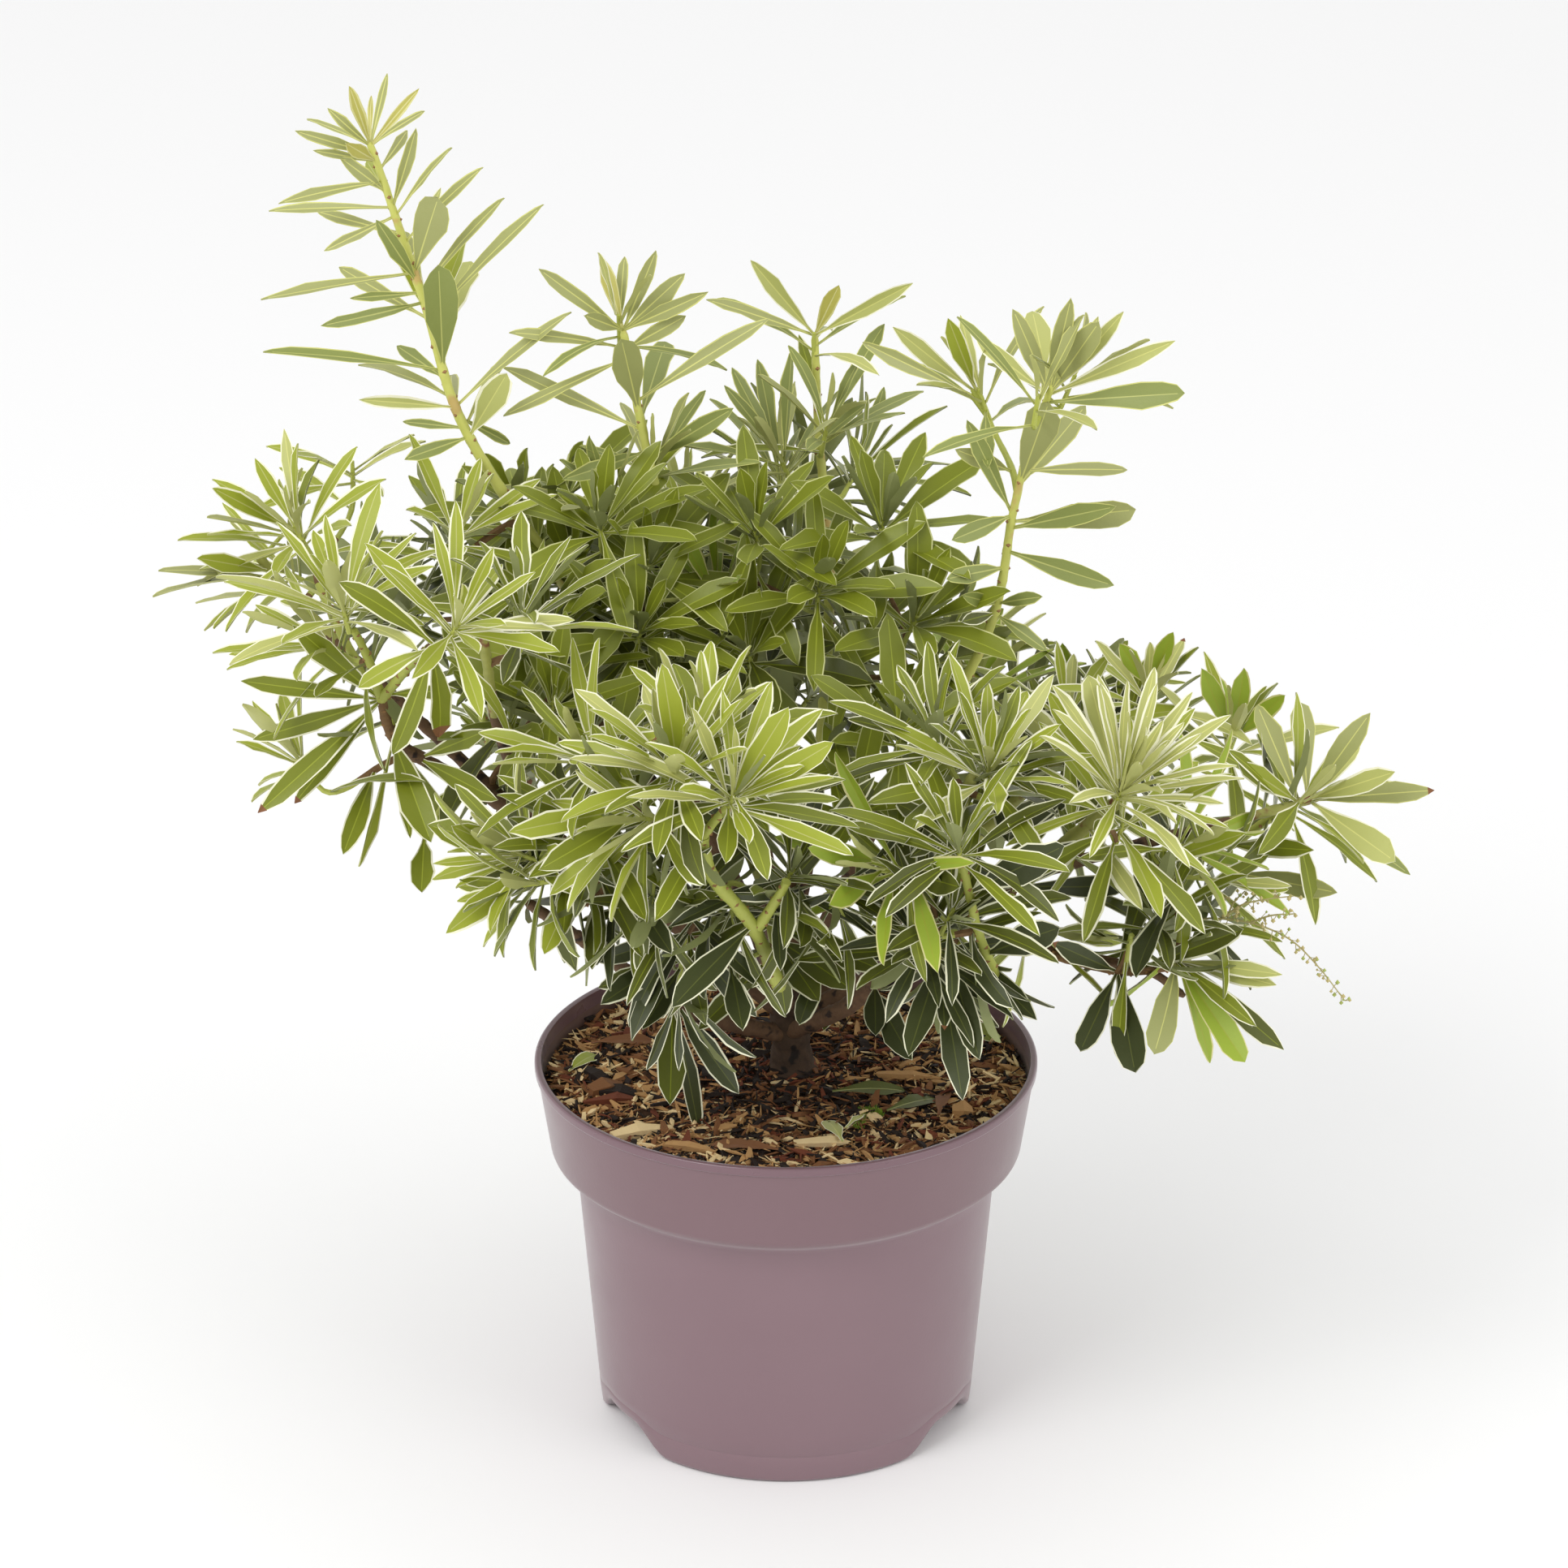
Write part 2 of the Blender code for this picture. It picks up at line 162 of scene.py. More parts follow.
def make_studio():
    bpy.ops.object.select_all(action="DESELECT")
    bpy.ops.mesh.primitive_plane_add(size=FLOOR_SIDE, location=(0, 0, -FLOOR_GAP))
    floor = bpy.context.object
    floor.name = "floor"
    floor.data.materials.append(new_material("floor_paper", (0.93, 0.93, 0.93), 0.85)[0])
    world = bpy.data.worlds.new("studio")
    world.use_nodes = True
    world.node_tree.nodes["Background"].inputs["Color"].default_value = (1, 1, 1, 1)
    world.node_tree.nodes["Background"].inputs["Strength"].default_value = 0.92
    bpy.context.scene.world = world
    for name, place, power in LAMPS:
        add_lamp(name, place, power)
    bpy.context.scene.view_settings.view_transform = "Standard"
    bpy.context.scene.view_settings.look = "None"


make_camera()
make_studio()

# Pot
# A round nursery pot of thin mauve polypropylene, moulded in one piece with a deep stepped collar, a darker
# rolled lip and three low drainage arches in its foot. Its section is drawn once and spun round.
POT_HEIGHT = 175 * MM
RIM_RADIUS = 115 * MM
LIP_HEIGHT = 4.5 * MM
LIP_STAND_OUT = 1.2 * MM
COLLAR_DEPTH = 41 * MM
COLLAR_FOOT_RADIUS = 108.2 * MM
STEP_DEPTH = 11 * MM
BODY_TOP_RADIUS = 96.3 * MM
FOOT_RADIUS = 86 * MM
FOOT_ROUNDING = 2.5 * MM
WALL = 1.8 * MM
FLOOR_DISC_RADIUS = 56 * MM
ARCH_HEIGHT = 12 * MM
ARCH_CENTRES = (61.5, 180, 298.5)
ARCH_HALF_ANGLE = 14.5
ARCH_SLOPE_ANGLE = 14
ARCH_BANDS = (
    (9 * MM, 14.4 * MM, 0.39, 1 * MM),
    (3 * MM, 9 * MM, 0.64, 1 * MM),
    (-1 * MM, 3 * MM, 1.0, 8 * MM),
)
SEAM_HEIGHT = 13.5 * MM
SEAM_DEPTH = 0.25 * MM
POT_COLUMNS = 144
FLOOR_RING = 18 * MM
MERGE_GAP = 0.02 * MM
BODY_LEAN = (BODY_TOP_RADIUS - FOOT_RADIUS) / (POT_HEIGHT - COLLAR_DEPTH - STEP_DEPTH)
POT_LOOKS = (
    ("mauve_plastic", (124, 98, 105), (131, 105, 112), 0.38),
    ("lip_plastic", (112, 84, 92), (120, 92, 100), 0.28),
    ("inner_plastic", (112, 84, 78), (122, 94, 84), 0.50),
    ("collar_plastic", (115, 88, 94), (122, 95, 101), 0.36),
)


def ease(share):
    """0 to 1 with a level start and end."""
    share = min(max(share, 0.0), 1.0)
    return share * share * (3 - 2 * share)


def outer_radius(height):
    """Radius of the pot's outer face below the lip."""
    step_top = POT_HEIGHT - COLLAR_DEPTH
    step_foot = step_top - STEP_DEPTH
    if height >= step_top:
        share = (height - step_top) / (COLLAR_DEPTH - LIP_HEIGHT)
        return COLLAR_FOOT_RADIUS + share * (RIM_RADIUS - LIP_STAND_OUT - COLLAR_FOOT_RADIUS)
    if height >= step_foot:
        share = ease((height - step_foot) / STEP_DEPTH)
        return BODY_TOP_RADIUS + share * (COLLAR_FOOT_RADIUS - BODY_TOP_RADIUS)
    return FOOT_RADIUS + height / step_foot * (BODY_TOP_RADIUS - FOOT_RADIUS)


def arch_lift(angle):
    """Height of the foot's edge above the ground at an angle round the pot, 0 at the front."""
    lift = 0.0
    for centre in ARCH_CENTRES:
        off = abs((angle - centre + 180) % 360 - 180)
        lift = max(lift, ease((ARCH_HALF_ANGLE + ARCH_SLOPE_ANGLE / 2 - off) / ARCH_SLOPE_ANGLE))
    return ARCH_HEIGHT * lift


def pot_section():
    """The section as (radius, height): up the outside from the foot, over the lip and down the inside."""
    points = []
    for step in range(5):
        turn = math.radians(90 * step / 4)
        points.append((outer_radius(0) - FOOT_ROUNDING * (1 - math.sin(turn)),
                       FOOT_ROUNDING * (1 - math.cos(turn))))
    for height in (8 * MM, SEAM_HEIGHT - 0.5 * MM):
        points.append((outer_radius(height), height))
    points.append((outer_radius(SEAM_HEIGHT) - SEAM_DEPTH, SEAM_HEIGHT))
    for height in (SEAM_HEIGHT + 0.5 * MM, 22 * MM, 45 * MM, 75 * MM, 100 * MM, 117 * MM):
        points.append((outer_radius(height), height))
    step_foot = POT_HEIGHT - COLLAR_DEPTH - STEP_DEPTH
    for step in range(9):
        height = step_foot + STEP_DEPTH * step / 8
        points.append((outer_radius(height), height))
    lip_foot = POT_HEIGHT - LIP_HEIGHT
    for height in (POT_HEIGHT - COLLAR_DEPTH + 1 * MM, 145 * MM, 158 * MM, lip_foot - 1 * MM, lip_foot):
        points.append((outer_radius(height), height))
    for step in range(5):
        turn = math.radians(-60 + 60 * step / 4)
        points.append((RIM_RADIUS - LIP_STAND_OUT * (1 - math.cos(turn)),
                       lip_foot + LIP_STAND_OUT * (1 + math.sin(turn))))
    for step in range(7):
        turn = math.radians(90 * step / 6)
        points.append((RIM_RADIUS - LIP_STAND_OUT * (1 - math.cos(turn)),
                       POT_HEIGHT - LIP_STAND_OUT * (1 - math.sin(turn))))
    for height in (POT_HEIGHT - 0.4 * MM, 168 * MM, 158 * MM, 136 * MM, 122 * MM, 60 * MM, 15 * MM):
        points.append((outer_radius(min(height, lip_foot)) - WALL, height))
    return points


def close_edit(smooth_angle=None):
    """Points all faces outwards and leaves edit mode."""
    bpy.ops.mesh.select_all(action="SELECT")
    bpy.ops.mesh.normals_make_consistent(inside=False)
    bpy.ops.object.mode_set(mode="OBJECT")
    if smooth_angle:
        bpy.ops.object.shade_smooth_by_angle(angle=math.radians(smooth_angle))


def select_in_edit(piece, chosen):
    """Selects, in edit mode, the vertices of a piece that a test picks."""
    bpy.ops.object.mode_set(mode="OBJECT")
    for item in (*piece.data.polygons, *piece.data.edges):
        item.select = False
    count = 0
    for vertex in piece.data.vertices:
        vertex.select = bool(chosen(vertex.co))
        count += vertex.select
    bpy.ops.object.mode_set(mode="EDIT")
    bpy.context.tool_settings.mesh_select_mode = (True, False, False)
    return count


def make_pot_shell():
    """The section, drawn by extruding one corner on and on, is spun, closed below and given its arches."""
    section = pot_section()
    bpy.ops.object.select_all(action="DESELECT")
    bpy.ops.mesh.primitive_plane_add(size=1, location=(0, 0, 0))
    pot = bpy.context.object
    pot.name = "moulded_pot"
    bpy.ops.object.mode_set(mode="EDIT")
    bpy.ops.mesh.select_all(action="SELECT")
    bpy.ops.mesh.merge(type="CENTER")
    full = [(FLOOR_DISC_RADIUS, 0.0), *section, (outer_radius(15 * MM) - 4 * MM, WALL + ARCH_HEIGHT),
            (FLOOR_DISC_RADIUS - WALL, WALL)]
    bpy.ops.transform.translate(value=(full[0][0], 0, full[0][1]))
    at = Vector((full[0][0], 0, full[0][1]))
    for radius, height in full[1:]:
        step = Vector((radius, 0, height)) - at
        bpy.ops.mesh.extrude_region_move(TRANSFORM_OT_translate={"value": step})
        at += step
    bpy.ops.mesh.select_all(action="SELECT")
    bpy.ops.mesh.spin(steps=POT_COLUMNS, angle=2 * math.pi, center=(0, 0, 0), axis=(0, 0, 1))
    bpy.ops.mesh.select_all(action="SELECT")
    bpy.ops.mesh.remove_doubles(threshold=MERGE_GAP)
    for height, radius in ((0.0, FLOOR_DISC_RADIUS), (WALL, FLOOR_DISC_RADIUS - WALL)):
        select_in_edit(pot, lambda co: abs(co.z - height) < 1e-5 and abs(co.xy.length - radius) < 1e-4)
        bpy.ops.mesh.edge_face_add()
        for ring in range(2):
            bpy.ops.mesh.inset(thickness=FLOOR_RING)
    for column in range(POT_COLUMNS):
        angle = 360 * column / POT_COLUMNS
        lift = arch_lift(angle)
        if lift < 1e-6:
            continue
        turn = math.radians(angle - 90)
        way = Vector((math.cos(turn), math.sin(turn)))
        for low, high, part, inset in ARCH_BANDS:
            chosen = select_in_edit(pot, lambda co: low < co.z <= high
                                    and co.xy.length > outer_radius(max(co.z, 0)) - inset
                                    and co.xy.normalized().dot(way) > math.cos(math.radians(1.0)))
            if chosen:
                outward = way * lift * part * BODY_LEAN
                bpy.ops.transform.translate(value=(outward.x, outward.y, lift * part))
    close_edit(40)
    return pot


def pot_plastic(name, colour, edge_colour, roughness):
    """Moulded plastic: a faint cloudiness, a few dark specks and scuffs, and a fine pebbled skin."""
    made, tree, shader = new_material(name, colour, roughness)
    for socket, value in (("Coat Weight", 0.25), ("Coat Roughness", 0.3), ("Sheen Weight", 0.28),
                          ("Sheen Roughness", 0.35)):
        shader.inputs[socket].default_value = value
    place = add_node(tree, "TexCoord")
    by_place = ("Vector", place, "Object")
    cloud = add_node(tree, "TexNoise", {"Scale": 14, "Detail": 4}, by_place)
    tint = add_node(tree, "Mix", {"A": (*colour, 1), "B": (*edge_colour, 1)}, ("Factor", cloud, "Fac"))
    speck = add_node(tree, "TexVoronoi", {"Scale": 26, "Randomness": 1.0}, by_place)
    spot = add_node(tree, "MapRange", {"From Min": 0.030, "From Max": 0.050, "To Min": 1.0, "To Max": 0.0},
                    ("Value", speck, "Distance"))
    rare = add_node(tree, "TexNoise", {"Scale": 9}, by_place)
    rare_cut = add_node(tree, "MapRange", {"From Min": 0.50, "From Max": 0.55}, ("Value", rare, "Fac"))
    both = add_node(tree, "Math", (), (0, spot, "Result"), (1, rare_cut, "Result"))
    both.operation = "MULTIPLY"
    dirt = add_node(tree, "Mix", {"B": (*linear(84, 62, 52), 1)}, ("A", tint, "Result"),
                    ("Factor", both, "Value"))
    wear = add_node(tree, "TexNoise", {"Scale": 60, "Detail": 3}, by_place)
    gloss = add_node(tree, "MapRange", {"To Min": roughness - 0.06, "To Max": roughness + 0.10},
                     ("Value", wear, "Fac"))
    link_into(shader, ("Base Color", dirt, "Result"), ("Roughness", gloss, "Result"))
    grain = add_node(tree, "TexNoise", {"Scale": 900, "Detail": 2}, by_place)
    add_bump(shader, grain, 0.12, 0.4 * MM)
    return made


def make_pot():
    pot = make_pot_shell()
    pot.data.materials.clear()
    for name, colour, cloud, roughness in POT_LOOKS:
        pot.data.materials.append(pot_plastic(name, linear(*colour), linear(*cloud), roughness))
    for face in pot.data.polygons:
        outer = face.center.xy.length > outer_radius(min(face.center.z, POT_HEIGHT - LIP_HEIGHT)) - 0.9 * MM
        if face.center.z > POT_HEIGHT - LIP_HEIGHT:
            face.material_index = 1
        elif not outer and face.center.z > 14 * MM:
            face.material_index = 2
        elif face.center.z > POT_HEIGHT - COLLAR_DEPTH - 0.55 * STEP_DEPTH:
            face.material_index = 3
    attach(pot, "root")
    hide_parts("pot")


make_pot()

# Soil and mulch
# The compost fills the pot to 12 mm under the rim. Its top is a crust of shredded bark: slivers, flat flakes
# and fibres of several browns that lie across each other, with a few larger lumps of wood and a tuft of moss.
# Round the stem, under the crown, the chips are dealt darker browns: painted shade.
SOIL_TOP = POT_HEIGHT - 12 * MM
SOIL_FOOT = 15.5 * MM
SOIL_SLACK = 0.4 * MM
CHIP_COUNT = 3400
FIBRE_COUNT = 4200
CHIP_TONES = (
    ("chip_tan", (190, 146, 94), 0.24),
    ("chip_pale", (240, 212, 160), 0.15),
    ("chip_brown", (128, 84, 48), 0.23),
    ("chip_red", (112, 56, 32), 0.10),
    ("chip_dark", (34, 20, 12), 0.28),
)
# Shares of the chip tones near the stem and round its foot, more of them dark: painted shade under the crown.
SHADED_CHIP_SHARES = (0.12, 0.02, 0.24, 0.12, 0.50)
CHIP_SHADE_RADIUS = 46 * MM
STEM_X, STEM_Y = 3 * MM, 4 * MM
FOOT_CHIPS = 220
FOOT_CHIP_REACH = 21 * MM
CHIP_SEED, MOSS_SEED = 31, 5
SOIL_RINGS = 30
SOIL_RING_WIDTH = 3.5 * MM
MOSS_TUFTS = (
    (1072, 1376, 6, 220),
    (1060, 1390, 3, 60),
)
WOOD_LUMPS = (
    (747, 1346, 17, 9, 8, 30, "chip_brown"),
    (760, 1351, 18, 8, 6, -10, "chip_dark"),
    (752, 1360, 24, 6, 5, 12, "chip_red"),
    (792, 1398, 30, 7, 4, 25, "chip_pale"),
    (782, 1278, 17, 10, 3, 60, "chip_red"),
    (1186, 1374, 9, 9, 7, 0, "chip_tan"),
    (735, 1330, 24, 6, 4, -50, "chip_dark"),
    (1012, 1412, 26, 6, 3, 8, "chip_pale"),
    (850, 1418, 24, 5, 3, -12, "chip_tan"),
    (1120, 1330, 30, 4, 3, -4, "chip_tan"),
)


def new_store():
    """Where the parts of a joined mesh are gathered."""
    return {"points": [], "faces": [], "slots": [], "count": 0}


def add_shape(store, points, faces, slots):
    """Adds a closed shape: its points as an array, its faces, and a slot for each face or for all."""
    base = store["count"]
    store["points"].append(points)
    store["faces"].extend([[corner + base for corner in face] for face in faces])
    store["slots"].extend([slots] * len(faces) if isinstance(slots, int) else slots)
    store["count"] += len(points)


def join_store(name, store, materials, smooth=True):
    """One object from all that a store holds."""
    mesh = bpy.data.meshes.new(name)
    mesh.from_pydata(np.concatenate(store["points"]).tolist(), [], store["faces"])
    for made in materials:
        mesh.materials.append(made)
    mesh.polygons.foreach_set("material_index", np.array(store["slots"], np.int32))
    mesh.polygons.foreach_set("use_smooth", np.full(len(mesh.polygons), smooth))
    mesh.update()
    if smooth:
        mesh.set_sharp_from_angle(angle=math.radians(50))
    piece = bpy.data.objects.new(name, mesh)
    bpy.context.scene.collection.objects.link(piece)
    return piece


def soil_height(x, y):
    """Height of the soil's surface, in soft heaps and hollows."""
    heap = noise.noise(Vector((x, y, 0)) * 34) * 2.4
    crumb = noise.noise(Vector((x, y, 3)) * 110) * 1.4
    return SOIL_TOP - 1.0 * MM + (heap + crumb) * MM


def rough_matter(name, dark, light, scale, relief):
    """A crumbly or fibrous stuff: two tones mixed by noise, matt, with a coarse bump."""
    made, tree, shader = new_material(name, dark, 0.9)
    place = add_node(tree, "TexCoord")
    grain = add_node(tree, "TexNoise", {"Scale": scale, "Detail": 6}, ("Vector", place, "Object"))
    tint = add_node(tree, "Mix", {"A": (*dark, 1), "B": (*light, 1)}, ("Factor", grain, "Fac"))
    link_into(shader, ("Base Color", tint, "Result"))
    add_bump(shader, grain, relief, 1 * MM)
    return made


def plain_matter(name, colour, roughness, scale, relief):
    """A plain colour with a fine bump, for small things whose colours are dealt out one by one."""
    made, tree, shader = new_material(name, colour, roughness)
    place = add_node(tree, "TexCoord")
    grain = add_node(tree, "TexNoise", {"Scale": scale}, ("Vector", place, "Object"))
    add_bump(shader, grain, relief, 0.4 * MM)
    return made


def make_soil_plug():
    """A disc at the pot's floor, extruded up its wall, inset ring by ring on top and heaped by height."""
    heights = (SOIL_FOOT, 60 * MM, 123 * MM, 134 * MM, SOIL_TOP)
    radii = [outer_radius(height) - WALL - 2 * SOIL_SLACK for height in heights]
    bpy.ops.object.select_all(action="DESELECT")
    bpy.ops.mesh.primitive_circle_add(vertices=120, radius=radii[0], fill_type="NGON",
                                      location=(0, 0, heights[0]))
    soil = bpy.context.object
    soil.name = "soil_plug"
    bpy.ops.object.transform_apply(location=True)
    bpy.ops.object.mode_set(mode="EDIT")
    bpy.ops.mesh.select_all(action="SELECT")
    for low, high, narrow, wide in zip(heights, heights[1:], radii, radii[1:]):
        bpy.ops.mesh.extrude_region_move(TRANSFORM_OT_translate={"value": (0, 0, high - low)})
        bpy.ops.transform.resize(value=(wide / narrow, wide / narrow, 1))
    for ring in range(SOIL_RINGS):
        bpy.ops.mesh.inset(thickness=SOIL_RING_WIDTH)
    bpy.ops.mesh.poke()
    close_edit()
    for vertex in soil.data.vertices:
        if vertex.co.z > SOIL_TOP - 0.5 * MM and vertex.co.xy.length < radii[-1] - 1 * MM:
            vertex.co.z = soil_height(vertex.co.x, vertex.co.y)
    bpy.ops.object.shade_smooth_by_angle(angle=math.radians(50))
    soil.data.materials.clear()
    soil.data.materials.append(rough_matter("compost", linear(40, 26, 18), linear(92, 62, 40), 320, 1.0))
    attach(soil, "root")
    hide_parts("soil")


def add_sliver(store, place, turn, tilt, roll, length, width, depth, slot, chance):
    """A splinter: three uneven four-cornered sections, narrow at both ends."""
    way = Matrix.Rotation(turn, 3, "Z") @ Matrix.Rotation(tilt, 3, "Y") @ Matrix.Rotation(roll, 3, "X")
    points = []
    for share, girth in ((-0.5, chance.uniform(0.15, 0.7)), (chance.uniform(-0.2, 0.2), 1.0),
                         (0.5, chance.uniform(0.1, 0.6))):
        bow = (0.25 - share * share) * length * 0.12
        for side, rise in ((-1, -1), (1, -1), (1, 1), (-1, 1)):
            local = Vector((share * length + chance.uniform(-0.04, 0.04) * length,
                            side * girth * width / 2 * chance.uniform(0.8, 1.1),
                            rise * girth * depth / 2 + bow))
            points.append(place + way @ local)
    faces = [(3, 2, 1, 0), (8, 9, 10, 11)]
    for row in (0, 4):
        for corner in range(4):
            after = (corner + 1) % 4
            faces.append((row + corner, row + after, row + 4 + after, row + 4 + corner))
    add_shape(store, np.array(points), faces, slot)


def on_soil(px, py):
    """The point of the soil's level that shows at a pixel."""
    way = line_of_sight(px, py)
    return CAMERA_AT + way * ((SOIL_TOP - CAMERA_AT.z) / way.z)


def make_mulch():
    chance = random.Random(CHIP_SEED)
    store = new_store()
    names = [name for name, colour, share in CHIP_TONES]
    shares = [share for name, colour, share in CHIP_TONES]
    edge = outer_radius(SOIL_TOP) - WALL - 1 * MM
    for index in range(CHIP_COUNT + FIBRE_COUNT):
        fibre = index >= CHIP_COUNT
        far = edge * math.sqrt(chance.random())
        turn = chance.uniform(0, 2 * math.pi)
        x, y = far * math.cos(turn), far * math.sin(turn)
        length = chance.uniform(4, 13) * MM if fibre else chance.triangular(3, 17, 6) * MM
        width = chance.uniform(0.45, 1.0) * MM if fibre else length * chance.uniform(0.12, 0.36)
        depth = width * chance.uniform(0.5, 0.9) if fibre else chance.uniform(0.7, 2.0) * MM
        heading = chance.uniform(0, math.pi)
        room = edge - abs(math.cos(heading - turn)) * length / 2
        if far > room:
            x, y = x * room / far, y * room / far
        lift = chance.uniform(-0.2, 2.6) * MM
        place = Vector((x, y, soil_height(x, y) + lift))
        # Chips near the stem are dealt the darker shares: painted shade under the crown.
        in_shade = math.hypot(x - STEM_X, y - STEM_Y) < CHIP_SHADE_RADIUS * chance.uniform(0.6, 1.4)
        slot = chance.choices(range(len(names)), SHADED_CHIP_SHARES if in_shade else shares)[0]
        add_sliver(store, place, heading, chance.gauss(0, 0.30), chance.gauss(0, 0.5), length, width, depth,
                   slot, chance)
    for px, py, length, width, depth, heading, look in WOOD_LUMPS:
        place = on_soil(px, py) + Vector((0, 0, 1.5 * MM))
        add_sliver(store, place, math.radians(heading), 0.05, 0.1, length * MM, width * MM, depth * MM,
                   names.index(look), chance)
    for index in range(FOOT_CHIPS):
        turn = chance.uniform(0, 2 * math.pi)
        far = chance.uniform(10, 20) * MM
        place = Vector((STEM_X + far * math.cos(turn), STEM_Y + far * math.sin(turn),
                        SOIL_TOP + (FOOT_CHIP_REACH - far) * chance.uniform(0.1, 0.6)))
        # The chips piled round the stem's foot take the darker shares too: painted shade.
        slot = chance.choices(range(len(names)), SHADED_CHIP_SHARES)[0]
        add_sliver(store, place, turn + math.pi / 2 + chance.gauss(0, 0.5), chance.gauss(0, 0.25),
                   chance.gauss(0, 0.5), chance.uniform(5, 12) * MM, chance.uniform(1, 3) * MM, 1 * MM, slot,
                   chance)
    looks = [plain_matter(name, linear(*colour), 0.85, 900, 0.7) for name, colour, share in CHIP_TONES]
    mulch = join_store("bark_mulch", store, looks, smooth=False)
    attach(mulch, "root")


def make_moss():
    """Two low tufts of tiny pointed leaflets."""
    chance = random.Random(MOSS_SEED)
    store = new_store()
    for px, py, spread, count in MOSS_TUFTS:
        middle = on_soil(px, py)
        for index in range(count):
            far = spread * MM * math.sqrt(chance.random())
            turn = chance.uniform(0, 2 * math.pi)
            foot = middle + Vector((far * math.cos(turn), far * math.sin(turn), 1 * MM))
            tip = foot + Vector((chance.gauss(0, 0.8), chance.gauss(0, 0.8), chance.uniform(1.5, 3.2))) * MM
            side = Vector((math.cos(turn), math.sin(turn), 0)) * 0.35 * MM
            across = Vector((-math.sin(turn), math.cos(turn), 0)) * 0.35 * MM
            points = np.array([foot + side, foot - side, foot + across, tip])
            add_shape(store, points, [(0, 1, 2), (0, 3, 1), (1, 3, 2), (2, 3, 0)], 0)
    moss = join_store("moss_tuft", store, [plain_matter("moss", linear(126, 158, 44), 0.8, 800, 0.3)])
    bpy.ops.object.select_all(action="DESELECT")
    bpy.context.view_layer.objects.active = moss
    moss.select_set(True)
    bpy.ops.object.mode_set(mode="EDIT")
    close_edit()
    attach(moss, "root")


make_soil_plug()
make_mulch()
make_moss()

# Stem, boughs and long shoots
# The woody frame: a short stem that flares at soil level, twelve boughs in rough brown bark that turn green
# towards their ends, and four long young shoots with smooth yellow-green bark, brown at the foot. Each is one
# tapering curve made a mesh. The stem's bark is darker than the boughs': painted shade under the crown.
STEM_ROUTE = ((3, 4, 163.3), (2, 3, 186), (-1, 0, 214))
STEM_RADII = (9.5, 8.0)
ROOT_FLARE = 1.4
ROOT_FLARE_HEIGHT = 12 * MM
LIMB_STEP = 2.2 * MM
LIMBS = {
    "bough_left": (((0, 2, 196), (-52, -6, 246), (-118, -26, 306), (-172, -50, 352)), (5.2, 2.8)),
    "bough_right": (((2, 1, 192), (50, -16, 228), (104, -52, 288), (146, -92, 344)), (5.0, 2.8)),
    "bough_front": (((0, 0, 200), (-8, -44, 238), (-6, -84, 290), (-30, -140, 372)), (4.8, 3.0)),
    "bough_back": (((0, 3, 203), (-10, 48, 240), (-16, 96, 272), (-14, 150, 312)), (4.8, 2.6)),
    "bough_front_left": (((1, 2, 184), (-44, -34, 214), (-80, -78, 262), (-112, -118, 306)), (4.2, 2.4)),
    "bough_front_right": (((1, 1, 186), (34, -44, 226), (58, -84, 284), (80, -118, 366)), (4.4, 2.6)),
    "bough_back_right": (((2, 3, 188), (48, 44, 220), (96, 76, 258), (140, 92, 296)), (4.4, 2.4)),
    "tall_shoot": (((-1, 1, 206), (-34, 28, 272), (-92, 34, 380), (-141, 22, 470), (-158, 20, 530),
                    (-174, 20, 584), (-181, 20, 606)), (4.6, 1.8)),
    "second_shoot": (((-1, 2, 210), (-14, 26, 290), (-44, 38, 380), (-62, 40, 455), (-72, 40, 512)),
                     (4.2, 2.0)),
    "third_shoot": (((0, 3, 207), (14, 38, 290), (20, 78, 380), (15, 94, 440), (13, 100, 488)), (4.0, 2.0)),
    "right_shoot": (((0, 1, 204), (40, 6, 286), (88, 6, 376), (100, 0, 440), (106, -6, 472), (116, -17, 508)),
                    (4.4, 2.0)),
    "bough_left_back": (((-30, 24, 262), (-80, 62, 306), (-132, 92, 344), (-156, 104, 368)), (3.4, 2.2)),
    "bough_left_outer": (((-118, -26, 306), (-178, -4, 358), (-218, 4, 398), (-234, 2, 420)), (3.0, 2.0)),
    "bough_left_front": (((-108, -23, 298), (-124, -74, 364), (-128, -104, 412), (-129, -118, 436)),
                         (3.0, 2.0)),
    "bough_right_outer": (((104, -52, 288), (166, -46, 304), (212, -36, 312), (244, -30, 320)), (3.0, 2.0)),
    "bough_right_low": (((78, -34, 257), (122, -66, 258), (158, -80, 256), (176, -82, 244)), (2.8, 1.8)),
}
BROWN_SHARE = 0.65
YOUNG_BROWN_SHARE = 0.30
BARK_RELIEF = 1.1 * MM
YOUNG_RELIEF = 0.5 * MM
STEM_RELIEF = 1.6 * MM
BROWN_SHARES = {"bough_front_left": 1.2, "bough_right_low": 1.2, "bough_left": 1.2}
SHOOT_GIRTHS = {"right_shoot": 0.74, "tall_shoot": 0.88, "second_shoot": 0.85, "third_shoot": 0.85}


def smooth_route(route, step):
    """A smooth line through a route's points, given in millimetres, with a point about every step."""
    given = [Vector(point) * MM for point in route]
    padded = [2 * given[0] - given[1], *given, 2 * given[-1] - given[-2]]
    line = [given[0]]
    for index in range(1, len(padded) - 2):
        before, start, end, after = padded[index - 1:index + 3]
        count = max(1, round((end - start).length / step))
        for part in range(1, count + 1):
            t = part / count
            line.append(0.5 * (2 * start + (end - before) * t
                               + (2 * before - 5 * start + 4 * end - after) * t ** 2
                               + (3 * start - before - 3 * end + after) * t ** 3))
    return line


